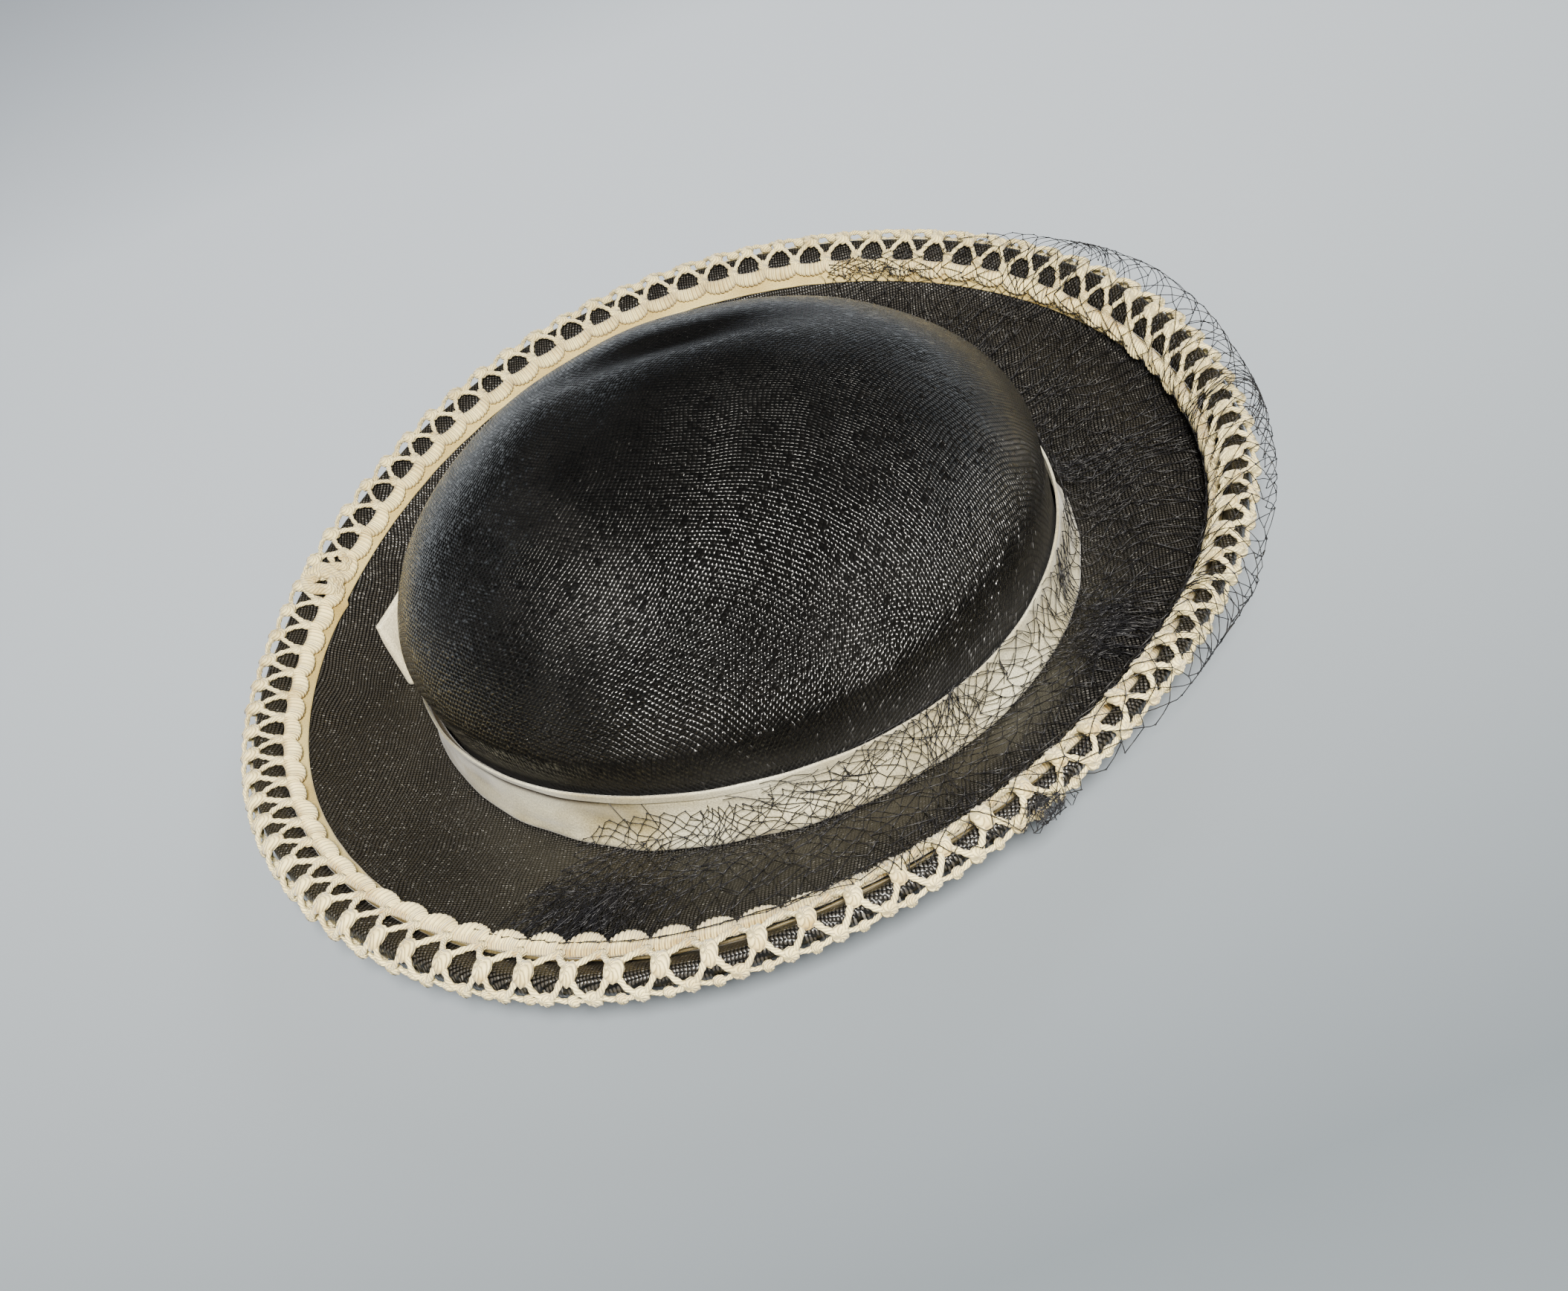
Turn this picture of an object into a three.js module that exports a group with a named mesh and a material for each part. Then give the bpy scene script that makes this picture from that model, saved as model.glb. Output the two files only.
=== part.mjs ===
// A woman's dress hat of black woven straw, in millimetres, +Z up, +X to the front.
// It rests on the flat underside of the brim's root, at Z = 0, around the head opening.
import * as THREE from 'three';

// Weave walls and the gap that sewn pieces keep to each other
const STRAW_THICK = 1.6;
const CROWN_THICK = 2.0;
const RIBBON_THICK = 0.8;
const SEWN_GAP = 0.3;

// Head opening in the brim, half sizes, and the crest of the rolled edge
const OPENING_LENGTH = 101.6;
const OPENING_WIDTH = 95.2;
const CREST_LENGTH = 158;
const CREST_WIDTH = 166.4;
const CREST_HEIGHT = 28.8;

// Slow waves of the old brim: how often each goes round, in mm up and as a share outward
const CREST_WAVES = [
  { times: 2, cosine: -3.1, sine: -5.0 },
  { times: 3, cosine: 1.7, sine: -0.5 },
  { times: 4, cosine: -0.6, sine: -1.1 },
];
const CREST_SPREAD = { times: 3, cosine: -0.0126, sine: 0.0069 };

// Top of the brim, a row for each ring from the head opening out to the tucked edge:
// share of the way from opening to crest, then mm outward and up from there
const BRIM_ROWS = [
  { share: 0, out: 0, up: 0 },
  { share: 0, out: 8, up: 0 },
  { share: 0.32, out: 0, up: -4.6 },
  { share: 0.52, out: 0, up: -4.8 },
  { share: 1, out: -16.3, up: -9.3 },
  { share: 1, out: -10.3, up: -5.2 },
  { share: 1, out: -4.9, up: -1.5 },
  { share: 1, out: 0, up: 0 },
  { share: 1, out: 2.4, up: -0.6 },
  { share: 1, out: 3.7, up: -2.4 },
  { share: 1, out: 3.8, up: -4.5 },
  { share: 1, out: 2.6, up: -6.3 },
];
const FLAT_ROWS = 2;
const UNDERSIDE_ROWS = [11, 10, 9, 7, 4, 3, 2, 1, 0];

// Degrees that the slope inside the crest is steeper at the very front than at the back, and
// that the rolled edge turns under: all round, and how much more or less on either side
const FRONT_STEEPER = { most: 40, power: 3 };
const EDGE_UNDER = { mean: 13, swing: 19, most: 212 };

// Crown wall, a row for each section up to the shoulder, then the dome above it
const CROWN_WALL = [
  { height: 1.9, length: 104, width: 97.6 },
  { height: 12, length: 104, width: 98.6 },
  { height: 21, length: 104, width: 100.2 },
  { height: 30, length: 103.6, width: 102.6 },
  { height: 38, length: 103, width: 104 },
];
const CROWN_TOP = 87;
const DOME_FULLNESS = 1.6;
const DOME_ROWS = 6;
const DOME_SHIFT = { front: -1, side: -3 };
const CREASE = { front: -12, side: 33, length: 34, width: 9, turn: -0.5, depth: 3 };

// Ribbon round the crown's foot, a row for each height: mm from the crown wall to its face
const BAND_ROWS = [
  { height: 2.0, standoff: 5.6 },
  { height: 8, standoff: 3.2 },
  { height: 17.4, standoff: 1.6 },
  { height: 17.8, standoff: 2.2 },
  { height: 21, standoff: 1.9 },
];

// Flat bow at the back, in mm, with the knot's place as an angle from the front
const BOW_ANGLE = 183;
const BOW_REACH = 41;
const BOW_DEPTH = 4;
const BOW_NECK = 3.4;
const BOW_WIDTH = 21;
const BOW_FOOT = 8.2;
const KNOT = { length: 11, depth: 5.5, height: 17 };

// Cord lace over the edge: one knot of the crest row, one outer knot and one scallop a repeat
const LACE_REPEATS = 82;
const LACE_START = 0.61;
const LACE_THICK = 1.6;
const LACE_LIFT = 1.7;
const SCALLOP_ROW = 4.57;
const NOTCH_ROW = 5;
const HOLE_TOP = 6;
const HOLE_MIDDLE = 7.5;
const HOLE_FOOT = 8.7;
const HOLE_HALF = 0.31;
const OUTER_KNOT_ROW = 9.5;
const PICOT_ROW = 10.3;

// Ribbon facing inside the lace: its inner edge as a row of the brim, with its share of the
// first and second cosine round the hat, and the row where it ends under the lace
const FACING_EDGE = { row: 4.49, once: 0.23, twice: 0.18 };
const FACING_END = 6;

// Curled ends where the lace is joined at the back
const CURLS = [
  { repeat: 75.1, row: 5.7 },
  { repeat: 74.2, row: 5.3 },
];
const CURL_SEGMENTS = 12;
const CURL_PROFILE = [
  { radius: 0, height: 0 },
  { radius: 5, height: 0 },
  { radius: 5, height: 1.3 },
  { radius: 3, height: 2.6 },
  { radius: 0, height: 2.1 },
];

// Veil: angles from the front, cells round it, and its rows from the band out past the edge
const VEIL_FROM = -95;
const VEIL_TO = 96;
const VEIL_CELLS = 10;
const VEIL_THICK = 0.9;
const VEIL_BAR = 0.16;
const VEIL_OVERHANG = 7;
const VEIL_ROWS = [
  { on: 'band', place: 20, lift: 1.5 },
  { on: 'band', place: 7, lift: 1.5 },
  { on: 'brim', place: 2, lift: 1.2 },
  { on: 'brim', place: 3, lift: 1.8 },
  { on: 'brim', place: 4, lift: 3.7 },
  { on: 'brim', place: 5, lift: 3.9 },
  { on: 'brim', place: 6, lift: 3.9 },
  { on: 'brim', place: 7, lift: 3.9 },
  { on: 'edge', place: 7, lift: 3.0 },
];
const VEIL_GAPS = [[1, 3], [4, 7]];

const CROWN_SEGMENTS = 48;
const CREST_STEPS = 720;
const TAU = 2 * Math.PI;

const straw = new THREE.MeshStandardMaterial({ color: 0x17161a, roughness: 0.35, metalness: 0 });
const openStraw = new THREE.MeshStandardMaterial({ color: 0x2b2926, roughness: 0.8, metalness: 0 });
const ribbon = new THREE.MeshStandardMaterial({ color: 0xd8cdae, roughness: 0.5, metalness: 0 });
const cordLace = new THREE.MeshStandardMaterial({ color: 0xe9d8b0, roughness: 0.85, metalness: 0 });
const net = new THREE.MeshStandardMaterial({ color: 0x0b0b0c, roughness: 0.7, metalness: 0 });

function mix(a, b, share) {
  return a + (b - a) * share;
}

// Plan direction square to an ellipse at a parametric angle
function outward(angle, length, width) {
  return new THREE.Vector3(width * Math.cos(angle), length * Math.sin(angle), 0).normalize();
}

function openingPoint(angle) {
  return new THREE.Vector3(OPENING_LENGTH * Math.cos(angle), OPENING_WIDTH * Math.sin(angle), STRAW_THICK);
}

function crestPoint(angle) {
  const { times, cosine, sine } = CREST_SPREAD;
  const spread = 1 + cosine * Math.cos(times * angle) + sine * Math.sin(times * angle);
  const height = CREST_WAVES.reduce((sum, wave) => sum + wave.cosine * Math.cos(wave.times * angle)
    + wave.sine * Math.sin(wave.times * angle), CREST_HEIGHT);
  const x = CREST_LENGTH * spread * Math.cos(angle);
  const y = CREST_WIDTH * spread * Math.sin(angle);
  return new THREE.Vector3(x, y, height);
}

// How far the cloth turns about the crest at one angle, in radians: up inside, under outside
function crestTurn(angle, out) {
  const { mean, swing, most } = EDGE_UNDER;
  const turn = out < 0
    ? FRONT_STEEPER.most * ((1 + Math.cos(angle)) / 2) ** FRONT_STEEPER.power
    : -mean - swing * Math.cos(angle - THREE.MathUtils.degToRad(most));
  return THREE.MathUtils.degToRad(turn);
}

// A whole row of the brim's top, at one angle
function brimRowPoint(angle, row) {
  const { share, out: flatOut, up: flatUp } = BRIM_ROWS[row];
  const turn = share === 1 ? crestTurn(angle, flatOut) : 0;
  const { x: out, y: up } = new THREE.Vector2(flatOut, flatUp).rotateAround(new THREE.Vector2(), turn);
  const point = openingPoint(angle).lerp(crestPoint(angle), share);
  const plan = share === 0
    ? outward(angle, OPENING_LENGTH, OPENING_WIDTH)
    : outward(angle, CREST_LENGTH, CREST_WIDTH);
  return point.addScaledVector(plan, out).add(new THREE.Vector3(0, 0, up));
}

// The direction out of the cloth at a whole row: straight up on the flat root
function brimRowNormal(angle, row) {
  if (row < FLAT_ROWS) return new THREE.Vector3(0, 0, 1);
  const before = brimRowPoint(angle, row - 1);
  const after = brimRowPoint(angle, Math.min(row + 1, BRIM_ROWS.length - 1));
  const across = after.sub(before).normalize();
  const plan = outward(angle, CREST_LENGTH, CREST_WIDTH);
  const round = new THREE.Vector3(-plan.y, plan.x, 0);
  return new THREE.Vector3().crossVectors(across, round).normalize();
}

// Any place between rows, raised from the brim by a lift in mm
function brimPoint(angle, row, lift) {
  const low = Math.min(Math.floor(row), BRIM_ROWS.length - 2);
  const raised = (whole) => brimRowPoint(angle, whole).addScaledVector(brimRowNormal(angle, whole), lift);
  return raised(low).lerp(raised(low + 1), row - low);
}

// Half sizes of the crown wall at a height below the shoulder
function crownWall(height) {
  const next = Math.max(1, CROWN_WALL.findIndex((row) => row.height >= height));
  const [low, high] = [CROWN_WALL[next - 1], CROWN_WALL[next]];
  const share = (height - low.height) / (high.height - low.height);
  return { length: mix(low.length, high.length, share), width: mix(low.width, high.width, share) };
}

function wallPoint(angle, height, standoff) {
  const { length, width } = crownWall(height);
  const point = new THREE.Vector3(length * Math.cos(angle), width * Math.sin(angle), height);
  return point.addScaledVector(outward(angle, length, width), standoff);
}

// Depth of the soft crease in the far shoulder of the dome
function creaseDepth(x, y) {
  const along = (x - CREASE.front) * Math.cos(CREASE.turn) - (y - CREASE.side) * Math.sin(CREASE.turn);
  const across = (x - CREASE.front) * Math.sin(CREASE.turn) + (y - CREASE.side) * Math.cos(CREASE.turn);
  return CREASE.depth * Math.exp(-((along / CREASE.length) ** 2) - (across / CREASE.width) ** 2);
}

// A point of the dome, inset by the wall's thickness for the inner face
function domePoint(angle, lean, inset) {
  const shoulder = CROWN_WALL[CROWN_WALL.length - 1];
  const rise = Math.sin(lean) ** (2 / DOME_FULLNESS);
  const x = (shoulder.length - inset) * Math.cos(lean) * Math.cos(angle) + DOME_SHIFT.front * rise;
  const y = (shoulder.width - inset) * Math.cos(lean) * Math.sin(angle) + DOME_SHIFT.side * rise;
  const z = shoulder.height + (CROWN_TOP - inset - shoulder.height) * rise;
  return new THREE.Vector3(x, y, z - creaseDepth(x, y));
}

// Closed body from points and triangles
function solid(points, faces) {
  const geometry = new THREE.BufferGeometry();
  const places = points.flatMap(({ x, y, z }) => [x, y, z]);
  geometry.setAttribute('position', new THREE.Float32BufferAttribute(places, 3));
  geometry.setIndex(faces.flat());
  geometry.computeVertexNormals();
  return geometry;
}

// A loop of section points carried all the way round, as a ring with no ends
function ringSolid(angles, sectionAt) {
  const sections = angles.map(sectionAt);
  const size = sections[0].length;
  const faces = [];
  for (let i = 0; i < angles.length; i += 1) {
    const next = (i + 1) % angles.length;
    for (let j = 0; j < size; j += 1) {
      const above = (j + 1) % size;
      faces.push([i * size + j, next * size + j, next * size + above]);
      faces.push([i * size + j, next * size + above, i * size + above]);
    }
  }
  return solid(sections.flat(), faces);
}

function evenAngles(count) {
  return Array.from({ length: count }, (_, i) => (TAU * i) / count);
}

// Angles that divide the crest into equal lengths, from the lace's first knot
function laceAngle(repeat) {
  const steps = laceAngle.steps ??= walkCrest();
  const wanted = (((repeat / LACE_REPEATS + LACE_START) % 1) + 1) % 1;
  const place = steps.findIndex((share) => share > wanted);
  const [low, high] = [steps[place - 1], steps[place]];
  const whole = Math.floor(repeat / LACE_REPEATS + LACE_START);
  return TAU * (whole + (place - 1 + (wanted - low) / (high - low)) / (steps.length - 1));
}

function walkCrest() {
  const points = Array.from({ length: CREST_STEPS + 1 }, (_, i) => crestPoint((TAU * i) / CREST_STEPS));
  const lengths = [0];
  for (let i = 1; i < points.length; i += 1) {
    lengths.push(lengths[i - 1] + points[i].distanceTo(points[i - 1]));
  }
  return lengths.map((length) => length / lengths[lengths.length - 1]);
}

// A pierced sheet from four-cornered cells in u and row, which a function puts in place
function piercedSheet(cells, wrap, place) {
  const keys = new Map();
  const flat = [];
  const indexOf = ([u, row]) => {
    const key = `${Math.round((u % wrap) * 1000)},${Math.round(row * 1000)}`;
    if (!keys.has(key)) keys.set(key, flat.push({ u, row }) - 1);
    return keys.get(key);
  };
  const faces = cells.map((cell) => cell.map(indexOf)).flatMap(([a, b, c, d]) => [[a, c, b], [a, d, c]]);
  const edges = new Set(faces.flatMap(([a, b, c]) => [`${a},${b}`, `${b},${c}`, `${c},${a}`]));
  const count = flat.length;
  const walls = [...edges]
    .map((edge) => edge.split(',').map(Number))
    .filter(([a, b]) => !edges.has(`${b},${a}`))
    .flatMap(([a, b]) => [[b, a, a + count], [b, a + count, b + count]]);
  const under = faces.map(([a, b, c]) => [a + count, c + count, b + count]);
  const points = [1, 0].flatMap((top) => flat.map(({ u, row }) => place(u, row, top)));
  return solid(points, [...faces, ...under, ...walls]);
}

function crownGeometry() {
  const profile = (angle, inset) => {
    const wall = CROWN_WALL.map(({ height }) => wallPoint(angle, height, -inset));
    const dome = Array.from({ length: DOME_ROWS - 1 }, (_, i) => domePoint(
      angle, (Math.PI / 2) * ((i + 1) / DOME_ROWS), inset));
    return [...wall, ...dome];
  };
  const angles = evenAngles(CROWN_SEGMENTS);
  const columns = angles.map((angle) => [...profile(angle, 0).reverse(), ...profile(angle, CROWN_THICK)]);
  const size = columns[0].length;
  const points = columns.flat();
  const outerPole = points.push(domePoint(0, Math.PI / 2, 0)) - 1;
  const innerPole = points.push(domePoint(0, Math.PI / 2, CROWN_THICK)) - 1;
  const faces = [];
  for (let i = 0; i < CROWN_SEGMENTS; i += 1) {
    const here = i * size;
    const next = ((i + 1) % CROWN_SEGMENTS) * size;
    for (let j = 0; j < size - 1; j += 1) {
      faces.push([here + j, here + j + 1, next + j + 1], [here + j, next + j + 1, next + j]);
    }
    faces.push([outerPole, here, next], [innerPole, next + size - 1, here + size - 1]);
  }
  return solid(points, faces);
}

function brimGeometry() {
  const angles = Array.from({ length: LACE_REPEATS }, (_, i) => laceAngle(i));
  return ringSolid(angles, (angle) => [
    ...BRIM_ROWS.map((_, row) => brimPoint(angle, row, 0)),
    ...UNDERSIDE_ROWS.map((row) => brimPoint(angle, row, -STRAW_THICK)),
  ].reverse());
}

function bandGeometry() {
  return ringSolid(evenAngles(CROWN_SEGMENTS), (angle) => {
    const face = BAND_ROWS.map(({ height, standoff }) => wallPoint(angle, height, standoff));
    const top = BAND_ROWS[BAND_ROWS.length - 1];
    const foot = BAND_ROWS[0];
    const back = [
      wallPoint(angle, top.height, SEWN_GAP),
      wallPoint(angle, BAND_ROWS[1].height, BAND_ROWS[1].standoff - RIBBON_THICK),
      wallPoint(angle, foot.height, foot.standoff - RIBBON_THICK),
    ];
    return [...face, ...back];
  });
}

function facingGeometry() {
  const angles = Array.from({ length: LACE_REPEATS }, (_, i) => laceAngle(i));
  return ringSolid(angles, (angle) => {
    const { row, once, twice } = FACING_EDGE;
    const edge = row + once * Math.cos(angle) + twice * Math.cos(2 * angle);
    return [
      brimPoint(angle, edge, SEWN_GAP),
      brimPoint(angle, FACING_END, SEWN_GAP),
      brimPoint(angle, FACING_END, SEWN_GAP + RIBBON_THICK),
      brimPoint(angle, edge, SEWN_GAP + RIBBON_THICK),
    ];
  });
}

// One repeat of the lace: half a scallop and half a picot at each side, the barrel hole between
function laceCells(repeat) {
  const half = (side) => {
    const at = (u, row) => [repeat + 0.5 + side * (0.5 - u), row];
    const cells = [
      [at(0, SCALLOP_ROW), at(0.5, NOTCH_ROW), at(0.5, HOLE_TOP), at(0, HOLE_TOP)],
      [at(0, HOLE_TOP), at(0.5, HOLE_TOP), at(0.5 - HOLE_HALF, HOLE_MIDDLE), at(0, HOLE_MIDDLE)],
      [at(0, HOLE_MIDDLE), at(0.5 - HOLE_HALF, HOLE_MIDDLE), at(0.5, HOLE_FOOT), at(0, HOLE_FOOT)],
      [at(0, HOLE_FOOT), at(0.5, HOLE_FOOT), at(0.5, OUTER_KNOT_ROW), at(0, PICOT_ROW)],
    ];
    return side < 0 ? cells : cells.map((cell) => cell.reverse());
  };
  return [...half(-1), ...half(1)];
}

function laceGeometry() {
  const cells = Array.from({ length: LACE_REPEATS }, (_, repeat) => laceCells(repeat)).flat();
  return piercedSheet(cells, LACE_REPEATS, (repeat, row, top) => brimPoint(
    laceAngle(repeat), row, LACE_LIFT + top * LACE_THICK));
}

// A low dome for one curled end, laid on the lace
function curlMesh({ repeat, row }, name) {
  const profile = CURL_PROFILE.map(({ radius, height }) => new THREE.Vector2(radius, height));
  const curl = new THREE.Mesh(new THREE.LatheGeometry(profile, CURL_SEGMENTS), cordLace);
  const angle = laceAngle(repeat);
  const foot = brimPoint(angle, row, LACE_LIFT + LACE_THICK + 2 * SEWN_GAP);
  const up = brimRowNormal(angle, Math.floor(row));
  curl.name = name;
  curl.position.copy(foot);
  curl.quaternion.setFromUnitVectors(new THREE.Vector3(0, 1, 0), up);
  return curl;
}

// Flat bow: a loop each way from the knot, standing on edge behind the band
function bowLoopGeometry() {
  const centre = BOW_REACH - BOW_DEPTH / 2;
  const root = KNOT.length / 2 + SEWN_GAP;
  const outline = (inset) => {
    const radius = BOW_DEPTH / 2 - inset;
    const end = [-90, -45, 0, 45, 90].map((turn) => {
      const lean = THREE.MathUtils.degToRad(turn);
      return new THREE.Vector2(centre + radius * Math.cos(lean), BOW_DEPTH / 2 + radius * Math.sin(lean));
    });
    const neck = [inset, BOW_NECK - inset].map((out) => new THREE.Vector2(root + inset, out));
    return [neck[0], ...end, neck[1]];
  };
  const shape = new THREE.Shape(outline(0));
  shape.holes.push(new THREE.Path(outline(RIBBON_THICK)));
  return new THREE.ExtrudeGeometry(shape, { depth: BOW_WIDTH, bevelEnabled: false });
}

function bowGroup() {
  const bow = new THREE.Group();
  const angle = THREE.MathUtils.degToRad(BOW_ANGLE);
  const { height, standoff } = BAND_ROWS[1];
  const seat = wallPoint(angle, height, standoff + SEWN_GAP);
  bow.position.set(seat.x, seat.y, BOW_FOOT);
  bow.rotation.z = angle - Math.PI / 2;
  const near = new THREE.Mesh(bowLoopGeometry(), ribbon);
  near.name = 'bow_loop_right';
  const far = new THREE.Mesh(bowLoopGeometry(), ribbon);
  far.name = 'bow_loop_left';
  far.rotation.y = Math.PI;
  far.position.z = BOW_WIDTH;
  const knotShape = new THREE.BoxGeometry(KNOT.length, KNOT.depth, KNOT.height);
  const knot = new THREE.Mesh(knotShape, ribbon);
  knot.name = 'bow_knot';
  knot.position.set(0, KNOT.depth / 2, BOW_WIDTH / 2);
  bow.add(near, far, knot);
  return bow;
}

// A place on the veil, by its share round and its row
function veilPoint(share, row, top) {
  const angle = THREE.MathUtils.degToRad(mix(VEIL_FROM, VEIL_TO, share));
  const { on, place, lift } = VEIL_ROWS[row];
  const raise = lift + top * VEIL_THICK;
  if (on === 'band') {
    const face = BAND_ROWS.find(({ height }) => height >= place).standoff;
    return wallPoint(angle, place, face + raise);
  }
  const point = brimPoint(angle, place, raise);
  if (on === 'brim') return point;
  return point.addScaledVector(outward(angle, CREST_LENGTH, CREST_WIDTH), VEIL_OVERHANG);
}

// The net in its simplest form: wide bars with a row of openings on each side of the facing
function veilGeometry() {
  const rows = VEIL_ROWS.slice(1).map((_, row) => row);
  const column = (from, to, pierced) => rows
    .filter((row) => !pierced || !VEIL_GAPS.some(([low, high]) => row >= low && row < high))
    .map((row) => [[from, row], [to, row], [to, row + 1], [from, row + 1]]);
  const cells = Array.from({ length: VEIL_CELLS }, (_, cell) => [
    ...column(cell, cell + VEIL_BAR, false),
    ...column(cell + VEIL_BAR, cell + 1, true),
  ]).flat();
  cells.push(...column(VEIL_CELLS, VEIL_CELLS + VEIL_BAR, false));
  const whole = VEIL_CELLS + VEIL_BAR;
  return piercedSheet(cells, Infinity, (cell, row, top) => veilPoint(cell / whole, row, top));
}

function named(name, geometry, material) {
  const mesh = new THREE.Mesh(geometry, material);
  mesh.name = name;
  return mesh;
}

const hat = new THREE.Group();
hat.add(
  named('crown', crownGeometry(), straw),
  named('brim', brimGeometry(), openStraw),
  named('hat_band', bandGeometry(), ribbon),
  named('brim_facing', facingGeometry(), ribbon),
  named('lace_edging', laceGeometry(), cordLace),
  named('veil', veilGeometry(), net),
  bowGroup(),
);
CURLS.forEach((curl, i) => hat.add(curlMesh(curl, `lace_join_curl_${i + 1}`)));

export default hat;
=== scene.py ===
# A woman's dress hat of black woven straw with ribbon, cord lace and a net veil.
# Sizes here are in millimetres and turned to metres as each mesh is made. +X is the front, +Z is up.
import bpy
import numpy as np
from mathutils import Matrix, Vector


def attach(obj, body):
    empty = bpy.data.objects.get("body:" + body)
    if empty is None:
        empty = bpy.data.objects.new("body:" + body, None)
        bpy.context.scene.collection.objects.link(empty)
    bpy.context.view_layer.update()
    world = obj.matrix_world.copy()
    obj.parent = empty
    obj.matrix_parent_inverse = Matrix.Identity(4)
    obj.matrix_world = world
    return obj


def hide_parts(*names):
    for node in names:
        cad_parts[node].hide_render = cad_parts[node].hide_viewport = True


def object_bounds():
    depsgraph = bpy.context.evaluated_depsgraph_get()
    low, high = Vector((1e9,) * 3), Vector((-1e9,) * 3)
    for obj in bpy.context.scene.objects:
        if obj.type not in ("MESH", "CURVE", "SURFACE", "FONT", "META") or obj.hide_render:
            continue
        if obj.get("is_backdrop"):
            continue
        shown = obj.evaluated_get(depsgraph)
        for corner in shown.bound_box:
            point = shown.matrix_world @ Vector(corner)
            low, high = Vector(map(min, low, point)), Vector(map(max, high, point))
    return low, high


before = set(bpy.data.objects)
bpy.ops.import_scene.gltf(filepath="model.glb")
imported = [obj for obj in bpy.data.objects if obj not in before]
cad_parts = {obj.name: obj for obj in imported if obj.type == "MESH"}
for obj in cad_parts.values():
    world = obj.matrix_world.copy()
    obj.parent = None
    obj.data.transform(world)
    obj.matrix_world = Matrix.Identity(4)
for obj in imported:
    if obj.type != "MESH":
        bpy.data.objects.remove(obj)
cad_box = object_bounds()
MM = 0.001
TAU = 2 * np.pi

# The studio: a camera at the photograph's angle to the hat, a pale grey paper floor that the hat
# rests on, painted darker towards the camera and paler away from it as a painted falloff of light,
# one small light above the camera that gloss shows, and two broad ones that it doesn't.
CAMERA_PLACE = Vector((264.17, -360.41, 346.92)) * MM
CAMERA_AIM = Vector((41.29, -46.93, 30.0)) * MM
CAMERA_ROLL = np.radians(-21.8)
CAMERA_LENS = 40.02
SENSOR_WIDTH = 36.0
FLOOR_NEAR = "#5C646B"
FLOOR_FAR = "#E4EEF9"
FLOOR_SIDE = 14.0
FLOOR_SPAN = (-0.25, 0.5)
FLOOR_AWAY = (-0.58, 0.815, 0.0)
SOFT_LIGHTS = [
    # name, place and side in metres, watts, colour, whether gloss shows it
    ("key", (0.50, -0.60, 0.80), 0.20, 44.0, "#FFFAF0", True),
    ("fill_left", (-1.30, -0.90, 1.15), 1.20, 6.5, "#F6F8FF", False),
    ("fill_far", (0.30, 2.10, 1.60), 1.00, 25.0, "#F4F7FF", False),
]
SKY_COLOUR = "#DDE4EC"
SKY_STRENGTH = 0.04


def linear(hex_colour):
    """Linear RGBA of an sRGB hex colour."""
    srgb = np.array([int(hex_colour[i:i + 2], 16) for i in (1, 3, 5)]) / 255
    rgb = np.where(srgb <= 0.04045, srgb / 12.92, ((srgb + 0.055) / 1.055) ** 2.4)
    return (*rgb.tolist(), 1.0)


def feed(tree, node, inputs):
    """Fill a node's inputs. Each takes a number, a colour, another node's output, or a node, which
    stands for its first output."""
    for key, value in dict(inputs).items():
        if isinstance(value, bpy.types.Node):
            value = value.outputs[0]
        if isinstance(value, bpy.types.NodeSocket):
            tree.links.new(value, node.inputs[key])
        else:
            node.inputs[key].default_value = value


def add(tree, kind, inputs=(), **settings):
    """A new shader node with its settings, its inputs filled."""
    made = tree.nodes.new("ShaderNode" + kind)
    for name, value in settings.items():
        setattr(made, name, value)
    feed(tree, made, inputs)
    return made


def new_material(name):
    """A material of that name, with its node tree and its Principled shader."""
    material = bpy.data.materials.new(name)
    material.use_nodes = True
    return material, material.node_tree, material.node_tree.nodes["Principled BSDF"]


camera = bpy.data.objects.new("camera", bpy.data.cameras.new("camera"))
camera.data.lens = CAMERA_LENS
camera.data.sensor_width = SENSOR_WIDTH
camera.data.clip_start = 0.01
camera.location = CAMERA_PLACE
aim_turn = (CAMERA_AIM - CAMERA_PLACE).to_track_quat("-Z", "Y").to_matrix()
camera.rotation_euler = (aim_turn @ Matrix.Rotation(CAMERA_ROLL, 3, "Z")).to_euler()
bpy.context.collection.objects.link(camera)
bpy.context.scene.camera = camera

for lamp_name, lamp_place, lamp_side, watts, colour, glossy in SOFT_LIGHTS:
    lamp = bpy.data.objects.new(lamp_name, bpy.data.lights.new(lamp_name, "AREA"))
    lamp.data.size = lamp_side
    lamp.data.energy = watts
    lamp.data.color = linear(colour)[:3]
    lamp.location = lamp_place
    lamp.rotation_euler = (-Vector(lamp_place)).to_track_quat("-Z", "Y").to_euler()
    lamp.visible_glossy = glossy
    bpy.context.collection.objects.link(lamp)

world = bpy.data.worlds.new("studio")
world.use_nodes = True
world.node_tree.nodes["Background"].inputs["Color"].default_value = linear(SKY_COLOUR)
world.node_tree.nodes["Background"].inputs["Strength"].default_value = SKY_STRENGTH
bpy.context.scene.world = world

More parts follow.
